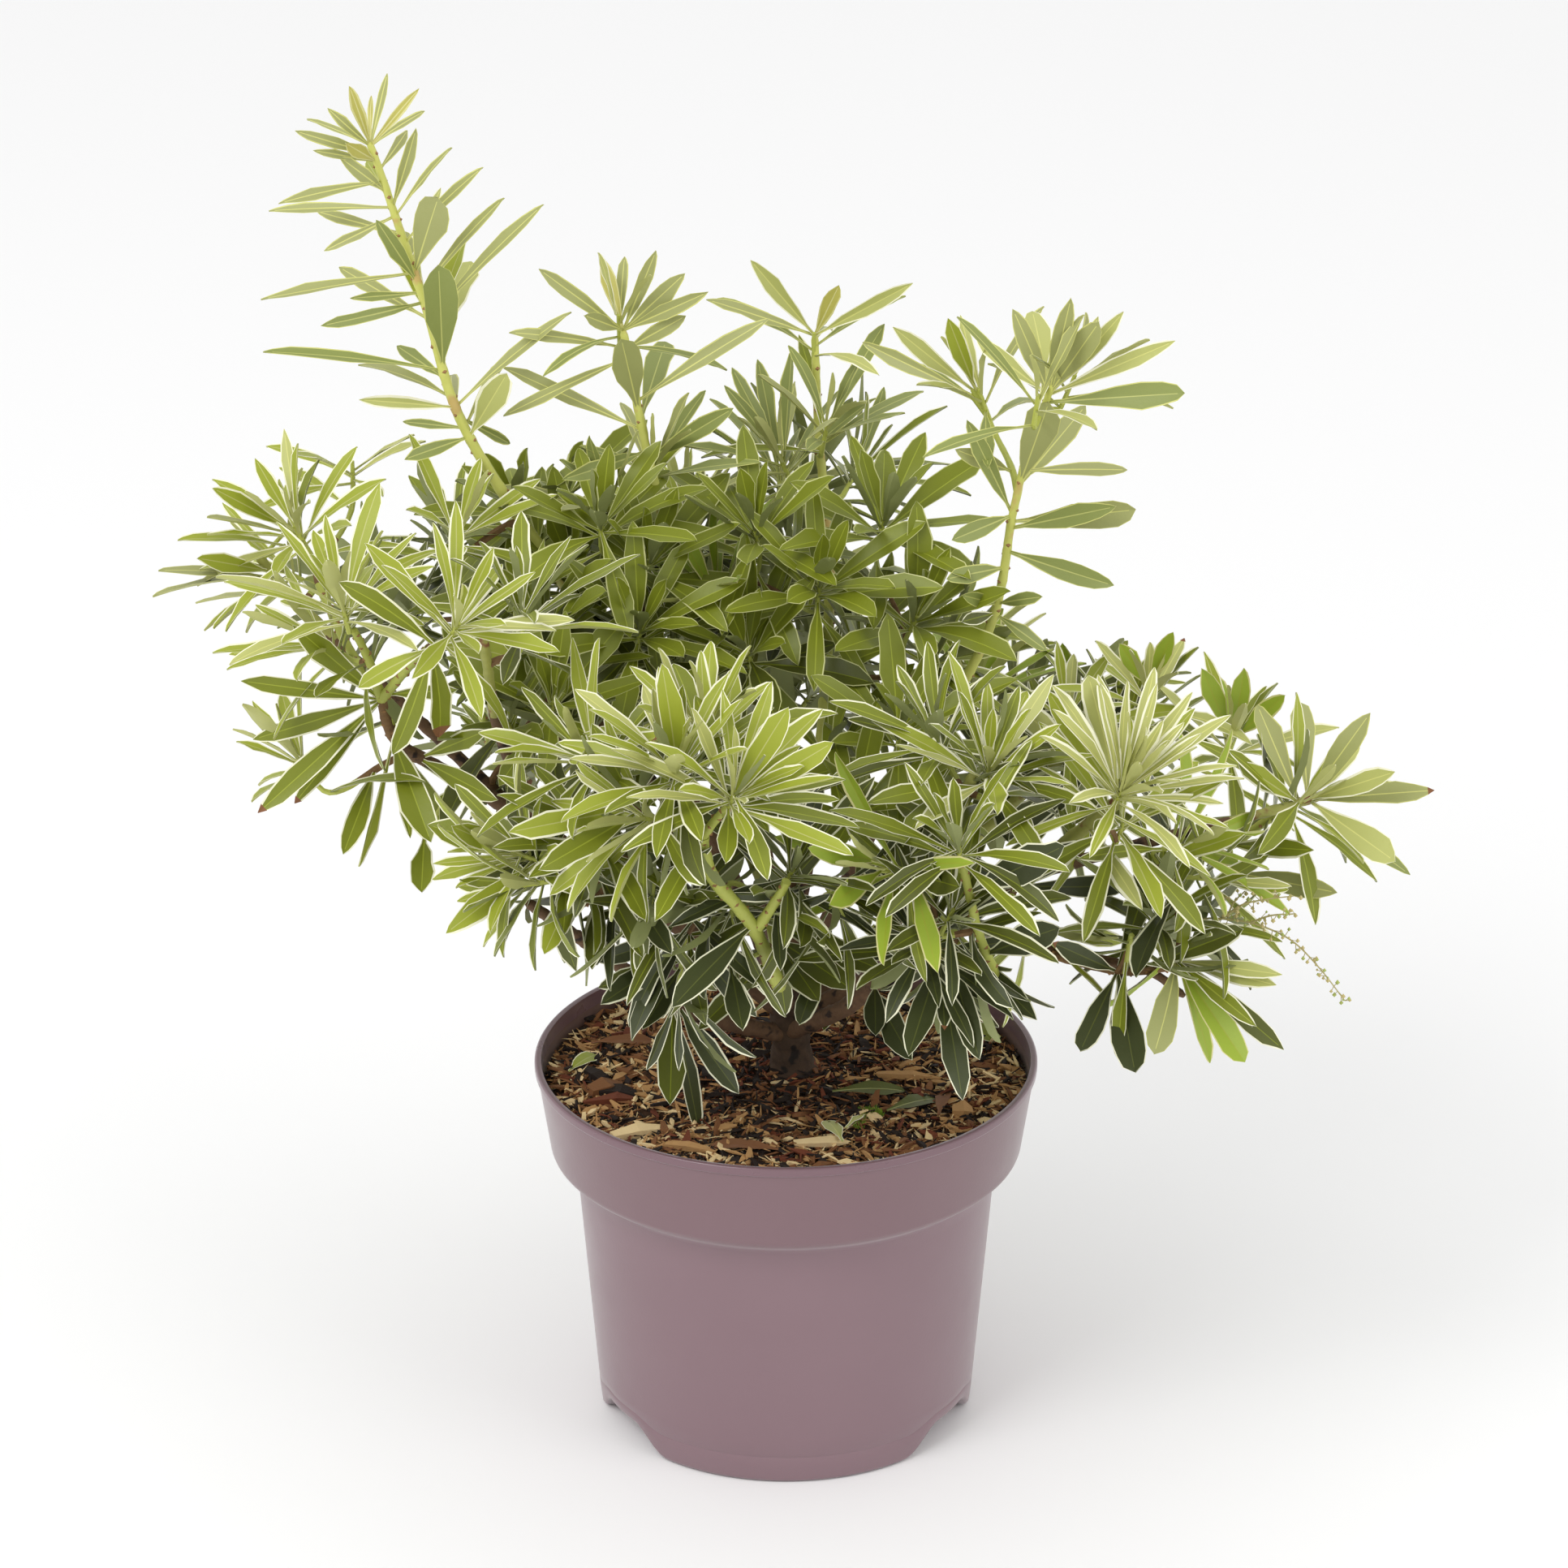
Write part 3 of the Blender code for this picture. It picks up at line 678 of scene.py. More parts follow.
def bark(name, dark, light, scars, scale, relief, roughness):
    """Bark in two tones with darker scars, its bump stronger where it is rough."""
    made = rough_matter(name, dark, light, scale, relief)
    tree = made.node_tree
    shader = tree.nodes["Principled BSDF"]
    shader.inputs["Roughness"].default_value = roughness
    patch = add_node(tree, "TexNoise", {"Scale": scale * 0.55, "Detail": 3},
                     ("Vector", tree.nodes["Texture Coordinate"], "Object"))
    cut = add_node(tree, "MapRange", {"From Min": 0.58, "From Max": 0.66}, ("Value", patch, "Fac"))
    over = add_node(tree, "Mix", {"B": (*scars, 1)}, ("A", tree.nodes["Mix"], "Result"),
                    ("Factor", cut, "Result"))
    link_into(shader, ("Base Color", over, "Result"))
    return made


def limb_skin(name, line, radii, relief, relief_size):
    """A curve with a tapering round section, made a mesh, with its relief pushed out by a noise."""
    bpy.ops.object.select_all(action="DESELECT")
    bpy.ops.curve.primitive_bezier_curve_add(location=(0, 0, 0))
    limb = bpy.context.object
    limb.name = name
    shape = limb.data
    shape.splines.clear()
    spline = shape.splines.new("POLY")
    spline.points.add(len(line) - 1)
    for point, place, radius in zip(spline.points, line, radii):
        point.co = (*place, 1)
        point.radius = radius / MM
    shape.dimensions = "3D"
    shape.bevel_depth = MM
    shape.bevel_resolution = 4
    shape.use_fill_caps = True
    bpy.ops.object.convert(target="MESH")
    limb = bpy.context.object
    grain = bpy.data.textures.new(name + "_relief", "CLOUDS")
    grain.noise_scale = relief_size
    grain.noise_depth = 3
    bpy.ops.object.modifier_add(type="DISPLACE")
    push = limb.modifiers[-1]
    push.texture = grain
    push.strength = relief
    push.mid_level = 0.5
    bpy.ops.object.modifier_apply(modifier=push.name)
    bpy.ops.object.mode_set(mode="EDIT")
    bpy.ops.mesh.select_all(action="SELECT")
    bpy.ops.mesh.remove_doubles(threshold=0.01 * MM)
    close_edit(60)
    return limb


BARKS = {
    # The stem's bark is darker than the boughs': painted shade under the crown.
    "shaded_stem_bark": ((48, 35, 26), (88, 67, 49), (28, 20, 15), 260, 1.0, 0.9),
    "brown_bark": ((74, 53, 38), (124, 94, 66), (46, 31, 23), 260, 1.0, 0.85),
    "green_bark": ((136, 138, 66), (182, 182, 96), (132, 84, 56), 170, 0.5, 0.55),
    "shoot_bark": ((190, 194, 92), (212, 212, 118), (198, 172, 104), 120, 0.3, 0.5),
}
shaded_stem_bark, brown_bark, green_bark, shoot_bark = [
    bark(bark_name, linear(*dark), linear(*light), linear(*scars), scale, relief, roughness)
    for bark_name, (dark, light, scars, scale, relief, roughness) in BARKS.items()]
carriers = []


def make_stem():
    line = smooth_route(STEM_ROUTE, 1.6 * MM)
    radii = []
    for index, point in enumerate(line):
        share = index / (len(line) - 1)
        flare = 1 + (ROOT_FLARE - 1) * (1 - ease((point.z - line[0].z) / ROOT_FLARE_HEIGHT))
        knots = 1 + 0.05 * math.sin(index * 1.1)
        radii.append(MM * (STEM_RADII[0] + share * (STEM_RADII[1] - STEM_RADII[0])) * flare * knots)
    stem = limb_skin("bark_stem", line, radii, STEM_RELIEF, 4 * MM)
    stem.data.materials.append(shaded_stem_bark)
    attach(stem, "root")
    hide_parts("stem")


def make_limb(name, route, foot, tip):
    line = smooth_route(route, LIMB_STEP)
    young = name.endswith("shoot")
    radii = []
    for index in range(len(line)):
        share = index / (len(line) - 1)
        node_swell = 1 + 0.10 * max(0.0, math.sin(index * 0.9 + len(name))) ** 4
        girth = MM * (foot + (tip - foot) * share) * SHOOT_GIRTHS.get(name, 1.0)
        radii.append(girth * node_swell * (1 if index < len(line) - 1 else 0.6))
    limb = limb_skin("bark_" + name, line, radii, YOUNG_RELIEF if young else BARK_RELIEF, 3 * MM)
    for made in (brown_bark, shoot_bark if young else green_bark):
        limb.data.materials.append(made)
    steps = np.array(line)
    brown_to = YOUNG_BROWN_SHARE if young else BROWN_SHARES.get(name, BROWN_SHARE)
    for face in limb.data.polygons:
        nearest = int(np.argmin(((steps - np.array(face.center)) ** 2).sum(1))) / (len(line) - 1)
        wander = 0.12 * noise.noise(face.center * 60)
        face.material_index = int(nearest + wander > brown_to)
    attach(limb, "root")
    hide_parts(name)
    carriers.append({"name": name, "line": line, "radii": radii})


make_stem()
for limb_name, (limb_route, (limb_foot, limb_tip)) in LIMBS.items():
    make_limb(limb_name, limb_route, limb_foot, limb_tip)

# Twigs
# Every whorl of leaves sits on its own twig. Twigs grow from the nearest limb or from an older twig, leave
# it at a slant, and turn to the way their whorl faces: brown near the limb, green and thin at the tip.
TWIG_SIDES = 6
TWIG_FOOT = 1.9 * MM
TWIG_TIP = 1.15 * MM
TWIG_STEPS = 12
GOLDEN_ANGLE = 2.39996
FORKS_FROM = 235 * MM
CARRIER_STEP = 4 * MM
TWIG_ROOM = 6 * MM
BARE_TIP = 16 * MM


def add_tube(store, line, radii, sides, slots):
    """A closed tapering tube along a line, with a slot for each of its stretches."""
    side_way = Vector((1, 0.2, 0.1))
    points = []
    for index, (point, radius) in enumerate(zip(line, radii)):
        ahead = line[min(index + 1, len(line) - 1)] - line[max(index - 1, 0)]
        ahead.normalize()
        side_way = (side_way - side_way.dot(ahead) * ahead).normalized()
        up_way = ahead.cross(side_way)
        for side in range(sides):
            turn = 2 * math.pi * side / sides
            points.append(point + radius * (math.cos(turn) * side_way + math.sin(turn) * up_way))
    faces = [tuple(range(sides))[::-1], tuple(range((len(line) - 1) * sides, len(line) * sides))]
    looks = [slots[0], slots[-1]]
    for row in range(len(line) - 1):
        for side in range(sides):
            after = (side + 1) % sides
            low = row * sides
            faces.append((low + side, low + after, low + sides + after, low + sides + side))
            looks.append(slots[row])
    add_shape(store, np.array(points), faces, looks)


def bend_between(start, start_way, end, end_way, count):
    """A line that leaves one point along one way and reaches another along a second."""
    span = (end - start).length
    line = []
    for index in range(count + 1):
        t = index / count
        line.append((2 * t ** 3 - 3 * t ** 2 + 1) * start + (t ** 3 - 2 * t ** 2 + t) * span * start_way
                    + (3 * t ** 2 - 2 * t ** 3) * end + (t ** 3 - t ** 2) * span * end_way)
    return line


def carrier_points(names=None):
    """All points of the limbs and twigs so far, the ways they run there and their radii."""
    places, ways, radii = [], [], []
    for carrier in carriers:
        if names and carrier["name"] not in names:
            continue
        line = carrier["line"]
        skip = max(1, round(CARRIER_STEP / max((line[1] - line[0]).length, 1e-5)))
        for index in range(2, len(line), skip):
            places.append(line[index])
            ways.append((line[min(index + 1, len(line) - 1)] - line[index - 1]).normalized())
            radii.append(carrier["radii"][index])
    return np.array(places), np.array(ways), np.array(radii)


def best_carrier(target):
    """Where a twig to a target leaves the limbs and twigs: near it, and not running away from it."""
    places, ways, radii = carrier_points()
    gaps = np.array(target) - places
    spans = np.linalg.norm(gaps, axis=1)
    along = (gaps * ways).sum(1) / np.maximum(spans, 1e-6)
    too_low = np.maximum(0, FORKS_FROM - places[:, 2]) * 2.0
    index = int(np.argmin(spans * (1.35 - 0.35 * along) + too_low))
    return Vector(places[index]), Vector(ways[index]), float(radii[index])


def grow_twig(name, target, way, foot, tip, old_share):
    """Grows a twig to a target from the best carrier, and keeps it as a carrier for later ones."""
    start, start_way, thick = best_carrier(target)
    gap = target - start
    if gap.length < TWIG_ROOM:
        return [start, target]
    leave = (gap.normalized() + 0.7 * start_way + Vector((0, 0, 0.15))).normalized()
    line = bend_between(start, leave, target, way, TWIG_STEPS)
    foot = min(foot, thick * 0.85)
    radii = [(foot + (min(tip, foot) - foot) * index / TWIG_STEPS) * (1.08 if index % 3 == 1 else 1.0)
             for index in range(TWIG_STEPS + 1)]
    slots = [0 if index < old_share * TWIG_STEPS else 1 for index in range(TWIG_STEPS)]
    add_tube(twigs, line, radii, TWIG_SIDES, slots)
    carriers.append({"name": name, "line": line, "radii": radii})
    return line


def way_round(way, turn):
    """The direction square to a way, at an angle round it."""
    side = way.orthogonal().normalized()
    return math.cos(turn) * side + math.sin(turn) * way.cross(side)


def leaning_out(way, round_way, lean):
    """Where a leaf points, and where its upper side faces, that leans out from a way."""
    heading = math.cos(lean) * way + math.sin(lean) * round_way
    return heading, way * math.sin(lean) - round_way * math.cos(lean)


twigs = new_store()

# Leaves
# Evergreen leathery leaves, widest past the middle and folded a little along a pale midrib, with an uneven
# cream edge. Each is a thin closed blade with its own top, edge, rib and underside. The greens are dealt
# out leaf by leaf, yellow at the young tips and dark on the old wood. Light and shade are painted into them
# by place too: paler at the top and the left, lighter inside, darker low down in front.
LEAF_SHARES = np.array((0, 0.14, 0.32, 0.52, 0.70, 0.85, 0.95, 1.0))
LEAF_LENGTH = 54 * MM
RIB_ROWS = 6
UNDERSIDE_DROP = 0.77 * MM
RIB_SUNK = 0.12 * MM
LEAF_SPECULAR = 0.42
BLADE_REACH = 0.97
HALF_BLADE = 0.47
LEAF_FOOT = 0.75 * MM
LEAF_POINT = 0.15 * MM
UNEVEN = 0.08
RIPPLE = 0.5 * MM
LEAF_LOOKS = (
    ("edge", (243, 241, 212), 0.55),
    ("dull_edge", (204, 206, 142), 0.55),
    ("young_edge", (210, 206, 142), 0.55),
    ("underside", (186, 188, 118), 0.55),
    ("old_underside", (138, 144, 92), 0.55),
    ("young", (186, 180, 92), 0.48),
    ("light", (182, 185, 108), 0.46),
    ("soft", (162, 165, 104), 0.45),
    ("olive", (138, 147, 80), 0.45),
    ("bright", (156, 165, 52), 0.44),
    ("fresh", (150, 170, 50), 0.44),
    ("mid", (124, 133, 32), 0.42),
    ("deep", (86, 92, 28), 0.38),
    ("dark", (64, 70, 38), 0.36),
    ("pale_rib", (206, 206, 124), 0.5),
    ("grey_rib", (92, 98, 46), 0.5),
    ("brown_tip", (132, 88, 56), 0.7),
)
LEAF_SLOT = {name: index for index, (name, colour, roughness) in enumerate(LEAF_LOOKS)}
TONES = {
    "young": ("young", "young_edge", "young_edge", "underside"),
    "light": ("light", "edge", "pale_rib", "underside"),
    "cream": ("light", "edge", "pale_rib", "underside"),
    "soft": ("soft", "pale_rib", "pale_rib", "underside"),
    "olive": ("olive", "pale_rib", "light", "underside"),
    "bright": ("bright", "edge", "light", "underside"),
    "fresh": ("fresh", "young_edge", "bright", "underside"),
    "mid": ("mid", "edge", "bright", "old_underside"),
    "deep": ("deep", "edge", "mid", "old_underside"),
    "dark": ("dark", "edge", "grey_rib", "old_underside"),
    "inner_mid": ("mid", "dull_edge", "bright", "old_underside"),
    "inner_deep": ("deep", "dull_edge", "mid", "old_underside"),
    "fallen": ("grey_rib", "grey_rib", "soft", "old_underside"),
}
OLDER = {"young": "bright", "light": "bright", "cream": "bright", "soft": "mid", "bright": "mid",
         "fresh": "mid", "mid": "deep", "deep": "dark", "dark": "dark"}
EDGE_WIDTHS = {"cream": 1.45, "olive": 0.6, "inner_mid": 0.7, "inner_deep": 0.7, "soft": 0.6}
ROOM_LOW = cad_low + Vector((-4, -4, 0)) * MM
ROOM_HIGH = cad_high + Vector((4, 4, 5)) * MM
CROWN_OUTLINE = (
    (548, 1152), (556, 1090), (545, 1062), (500, 1102), (418, 1056), (412, 1004), (345, 1002), (312, 1012),
    (292, 900), (292, 830), (192, 742), (188, 690), (248, 648), (262, 565), (330, 518), (440, 545),
    (500, 508), (560, 560), (640, 552), (700, 560), (735, 515), (728, 470), (676, 440), (650, 398),
    (660, 328), (742, 305), (822, 300), (862, 345), (832, 400), (806, 436), (850, 466), (872, 440),
    (876, 372), (922, 315), (1000, 372), (1130, 342), (1080, 395), (1180, 385), (1262, 362), (1330, 362),
    (1390, 385), (1458, 425), (1456, 490), (1410, 580), (1402, 660), (1370, 725), (1292, 762), (1310, 788),
    (1380, 788), (1445, 775), (1540, 820), (1610, 850), (1690, 875), (1770, 965), (1740, 1088),
    (1652, 1108), (1600, 1200), (1590, 1298), (1500, 1322), (1390, 1322), (1330, 1302), (1285, 1262),
    (1202, 1360), (1120, 1312), (1085, 1242), (1000, 1240), (905, 1352), (860, 1405), (820, 1360),
    (742, 1245), (640, 1192),
)
SKY_GAPS = (
    (532, 884, 26), (556, 944, 26), (608, 868, 14), (387, 886, 18), (400, 950, 26), (455, 992, 20),
    (566, 1000, 12), (1003, 905, 20), (1058, 1150, 12), (722, 1152, 30), (1298, 766, 18), (1290, 900, 8),
    (1010, 1180, 10), (500, 700, 10), (610, 740, 12), (560, 560, 10), (1175, 720, 14), (1150, 560, 16),
    (1160, 620, 14), (880, 470, 16), (489, 620, 24), (548, 590, 18), (511, 654, 12), (338, 647, 10),
    (477, 749, 9), (511, 801, 13), (1300, 690, 26), (1340, 600, 22), (1320, 740, 16), (1340, 752, 20),
    (940, 1166, 15), (952, 1197, 14), (905, 1112, 11), (956, 1110, 10),
)


def pixel_of(point):
    """Where a point shows in the photograph."""
    offset = point - CAMERA_AT
    scale = PIXELS_FOCAL / offset.dot(AHEAD)
    return PHOTO_SIDE / 2 + offset.x * scale, PHOTO_SIDE / 2 - offset.dot(UP) * scale


def in_sky_gap(px, py):
    return any(math.hypot(px - x, py - y) < radius for x, y, radius in SKY_GAPS)


def inside_outline(px, py):
    inside = False
    for (x0, y0), (x1, y1) in zip(CROWN_OUTLINE, CROWN_OUTLINE[1:] + CROWN_OUTLINE[:1]):
        if (y0 > py) != (y1 > py) and px < x0 + (py - y0) / (y1 - y0) * (x1 - x0):
            inside = not inside
    return inside


def fitting_length(base, way, length):
    """A leaf's length cut so that it stays within the crown's outline and out of its sky gaps, or 0."""
    for share in (1.0, 0.85, 0.7):
        if not inside_outline(*pixel_of(base + way * length * share)):
            continue
        if not any(in_sky_gap(*pixel_of(base + way * length * share * part)) for part in (0.4, 0.7, 0.95)):
            return length * share
    return 0.0


def leaf_faces():
    """The faces of one blade: rows of five strips on top and two below, and a small cap at each end."""
    columns = 7
    faces, kinds = [], []
    for row in range(len(LEAF_SHARES) - 1):
        here, there = row * columns, (row + 1) * columns
        middle = "rib" if row < RIB_ROWS else "blade"
        for strip, kind in enumerate(("edge", "blade", middle, "blade", "edge")):
            faces.append((here + strip, here + strip + 1, there + strip + 1, there + strip))
            kinds.append((kind, row))
        for left, right in ((0, 6), (6, 5)):
            faces.append((here + left, there + left, there + right, here + right))
            kinds.append(("under", row))
    last = (len(LEAF_SHARES) - 1) * columns
    faces.append(tuple(range(columns))[::-1])
    faces.append(tuple(range(last, last + columns)))
    kinds += [("rib", 0), ("edge", len(LEAF_SHARES) - 1)]
    return faces, kinds


LEAF_FACES, LEAF_KINDS = leaf_faces()


def leaf_slots(chance, tone, brown):
    """The material of each face of a blade, with a brown tip now and then."""
    blade, edge, rib, under = (LEAF_SLOT[look] for look in TONES[tone])
    strips = {"blade": blade, "edge": edge, "rib": rib, "under": under}
    brown_from = len(LEAF_SHARES) + 1
    if chance.random() < brown:
        brown_from = len(LEAF_SHARES) - chance.choice((2, 3))
    return [LEAF_SLOT["brown_tip"] if row >= brown_from else strips[strip] for strip, row in LEAF_KINDS]


def add_leaf(store, chance, base, way, face, length, width, tone, bend=0.3, fold=0.3, brown=0.004,
             twist=None, blunt=False):
    """One blade from its base along a way, upper side towards face. A bend turns its tip from that side."""
    way = way.normalized()
    face = face - face.dot(way) * way
    if face.length < 1e-4:
        face = way.orthogonal()
    face.normalize()
    tip = base + way * length * BLADE_REACH - face * length * bend * 0.4
    for axis in range(3):
        for limit, sign in ((ROOM_LOW[axis], -1), (ROOM_HIGH[axis], 1)):
            over = sign * (tip[axis] - limit)
            if over > 0:
                reach = abs(tip[axis] - base[axis])
                length *= max(0.35, 1 - over / max(reach, 1e-4))
                tip = base + way * length * BLADE_REACH - face * length * bend * 0.4
    shares = LEAF_SHARES
    outline = shares ** 1.4 * (1 - shares) ** (0.5 if blunt else 0.75)
    outline = outline / outline.max() * width * HALF_BLADE
    outline = np.maximum(outline, np.where(shares < 0.3, LEAF_FOOT, 0.0))
    outline[-1] = LEAF_POINT
    seed = np.random.default_rng(chance.randrange(1 << 30))
    left = outline * (1 + seed.normal(0, UNEVEN, len(shares)))
    right = outline * (1 + seed.normal(0, UNEVEN, len(shares)))
    turn = bend * 1.6 * shares ** 1.4
    steps = np.diff(shares, prepend=0) * length
    along = np.cumsum(np.cos(turn) * steps)
    drop = np.cumsum(np.sin(turn) * steps)
    way_np, face_np = np.array(way), np.array(face)
    across_np = np.cross(way_np, face_np)
    spine = np.array(base) + along[:, None] * way_np - drop[:, None] * face_np
    lean = (chance.gauss(0, 0.22) if twist is None else twist) * shares
    level = np.sin(turn)[:, None] * way_np + np.cos(turn)[:, None] * face_np
    across = np.cos(lean)[:, None] * across_np + np.sin(lean)[:, None] * level
    upward = -np.sin(lean)[:, None] * across_np + np.cos(lean)[:, None] * level
    points = np.empty((len(shares), 7, 3))
    edge_left, edge_right = (
        np.minimum(side * 0.42, np.interp(shares, (0, 0.3, 0.65, 1), 0.34 + 0.75 * seed.random(4) ** 2)
                   * EDGE_WIDTHS.get(tone, 1.0) * MM) for side in (left, right))
    rib = (0.40 - 0.24 * shares) * MM
    rib_left, rib_right = np.minimum(rib, left * 0.3), np.minimum(rib, right * 0.3)
    spread = (-left, edge_left - left, -rib_left, rib_right, right - edge_right, right)
    ripples = [RIPPLE * np.sin(shares * seed.uniform(9, 15) + seed.uniform(0, 6)) * (outline / width * 2)
               for side in range(2)]
    for column, offset in enumerate(spread):
        rise = fold * np.abs(offset) - 0.06 * np.abs(offset) ** 2 / (width / 2)
        rise = rise - RIB_SUNK if column in (2, 3) else rise + ripples[column // 4]
        points[:, column] = spine + offset[:, None] * across + rise[:, None] * upward
    points[:, 6] = spine - UNDERSIDE_DROP * upward
    slots = leaf_slots(chance, tone, brown)
    add_shape(store, points.reshape(-1, 3), LEAF_FACES, slots)


leaves = {region: new_store() for region in ("shoots", "left", "inside", "front", "right", "back")}


def region_of(mass):
    """The group of leaves that a mass belongs to."""
    first = mass.split("_")[0]
    if first in ("tall", "second", "third") or mass in ("right_tip", "right_tip_side", "right_middle"):
        return "shoots"
    return {"inner": "inside", "centre": "inside"}.get(first, first)


LIGHT_WAY = Vector((0, -0.28, 0.35))
WHORL_DEPTH = 11 * MM
TIP_REACH = 45 * MM
FULLNESS = {"shoots": 0.85, "left": 0.95, "inside": 1.1, "front": 1.15, "right": 1.0, "back": 1.2}
LOWER_LEAVES = {"shoots": 1, "left": 2}
LEAF_WIDTHS = {"shoots": (0.12, 0.165), "inside": (0.18, 0.24), "left": (0.13, 0.18)}
# Below this height, leaves in front are dealt darker greens: painted shade.
FRONT_SHADE_BELOW = 0.30
OLD_WOOD_BELOW = 0.31
SHOWN_SHARE = 0.88
OLD_SHOWN_SHARE = 0.85
LIGHTER_SHARE = 0.15
CHANGED_SHARE = 0.3
OLDER_SHARE = 0.35
WIDTH_FROM = 42 * MM


def tone_there(region, tone, height):
    """A leaf's tone where it grows, with light and shade painted in: paler, greyer greens on the shoots as
    painted light and reflection, a lighter green at the left and on deep blades inside as painted light,
    duller edges inside, and darker greens low down in front as painted shade.
    """
    # Shoots: paler, greyer greens, painted light and reflection.
    if region == "shoots":
        return {"bright": "soft", "mid": "olive", "deep": "mid", "dark": "deep"}.get(tone, tone)
    # Left: a step lighter, painted light.
    if region == "left":
        return {"mid": "bright", "deep": "mid", "dark": "deep"}.get(tone, tone)
    # Inside: deep and dark blades a step lighter, painted light, with duller edges.
    if region == "inside":
        return {"mid": "inner_mid", "deep": "inner_mid", "dark": "inner_deep"}.get(tone, tone)
    # Low in front: a step darker, painted shade.
    if region == "front" and height < FRONT_SHADE_BELOW:
        return {"bright": "mid", "mid": "deep", "deep": "dark"}.get(tone, tone)
    return tone


def show_upper_side(place, upper):
    """Turns an upper side that faces away from the viewer round to the open side of the crown."""
    viewer = (CAMERA_AT - place).normalized()
    upper = upper.normalized()
    return upper + viewer * max(0.0, 0.25 - 1.5 * upper.dot(viewer))


def add_whorl(mass, line, way, tone, count, size=1.0, spread=(12, 70), seed=0):
    """The leaves of one shoot tip: a tight spiral, upright in the middle and flat or drooping round it."""
    chance = random.Random(seed)
    region = region_of(mass)
    store = leaves[region]
    tip = line[-1]
    start = chance.uniform(0, 2 * math.pi)
    if region == "shoots" or tone == "cream":
        spread = (spread[0] - 4, spread[1] - 12)
    count = round(count * FULLNESS[region])
    below = LOWER_LEAVES.get(region, 4)
    for index in range(count + below):
        turn = start + index * GOLDEN_ANGLE + chance.gauss(0, 0.12)
        share = index / max(count - 1, 1)
        if index < count:
            lean = spread[0] + (spread[1] - spread[0]) * share ** 0.85 + chance.gauss(0, 6)
            base = tip - way * (share * WHORL_DEPTH)
            length = LEAF_LENGTH * size * (0.55 + 0.45 * min(1, share * 2.4)) * chance.uniform(0.86, 1.1)
            fresh_tip = tone in ("light", "bright") and index < 2 and chance.random() < CHANGED_SHARE
            kind = "young" if fresh_tip and region == "shoots" else tone
            if region in ("shoots", "left") and chance.random() < LIGHTER_SHARE:
                kind = {"bright": "light", "mid": "bright", "deep": "mid"}.get(kind, kind)
            elif kind == "bright" and chance.random() < CHANGED_SHARE:
                kind = chance.choice(("light", "mid"))
            if share > 0.72 and chance.random() < OLDER_SHARE:
                kind = OLDER[tone]
        else:
            down = (index - count + 1) / (below + 1)
            place = (1 - 0.55 * down) * (len(line) - 1)
            low = line[int(place)]
            high = line[min(int(place) + 1, len(line) - 1)]
            base = low.lerp(high, place - int(place))
            if (tip - base).length > TIP_REACH:
                continue
            lean = chance.uniform(72, 108)
            length = LEAF_LENGTH * size * chance.uniform(0.75, 1.05)
            kind = OLDER[tone]
        lean = math.radians(lean)
        round_way = way_round(way, turn)
        heading, upper = leaning_out(way, round_way, lean)
        heading = (heading + Vector((0, 0, -0.10 * math.sin(lean)))).normalized()
        upper = upper + LIGHT_WAY
        bend = chance.gauss(0.02 + 0.26 * min(share, 1), 0.09)
        length = fitting_length(base, heading, length)
        if not length:
            continue
        if region != "back" and chance.random() < SHOWN_SHARE:
            upper = show_upper_side(base, upper)
        width = max(length, WIDTH_FROM) * chance.uniform(*LEAF_WIDTHS.get(region, (0.135, 0.185)))
        width *= 0.75 if tone == "cream" else 1.0
        add_leaf(store, chance, base + round_way * 1.0 * MM, heading, upper, length, width,
                 tone_there(region, kind, base.z), bend=bend, fold=chance.uniform(0.15, 0.5))


def add_old_whorl(mass, at, way, count, size, seed):
    """Last year's leaves round a fork: dark, broad, flat or hanging."""
    chance = random.Random(seed)
    for index in range(count):
        round_way = way_round(way, index * GOLDEN_ANGLE + chance.gauss(0, 0.2))
        lean = math.radians(chance.uniform(74, 118))
        heading, upper = leaning_out(way, round_way, lean)
        heading = heading + Vector((0, 0, -0.25))
        upper = upper + Vector((0, 0, 0.5))
        if not mass.startswith("back") and chance.random() < OLD_SHOWN_SHARE:
            upper = show_upper_side(at, upper)
        length = LEAF_LENGTH * size * chance.uniform(0.8, 1.1)
        tone = chance.choice(("dark", "dark", "deep") if at.z < OLD_WOOD_BELOW else ("deep", "mid", "deep"))
        tone = tone_there(region_of(mass), tone, 1.0)
        length = fitting_length(at, heading.normalized(), length)
        if not length:
            continue
        base = at - way * chance.uniform(0, 8) * MM
        add_leaf(leaves[region_of(mass)], chance, base, heading, upper, length,
                 length * chance.uniform(0.2, 0.26), tone, bend=chance.uniform(0.15, 0.45),
                 fold=chance.uniform(0.1, 0.4), brown=0.008)


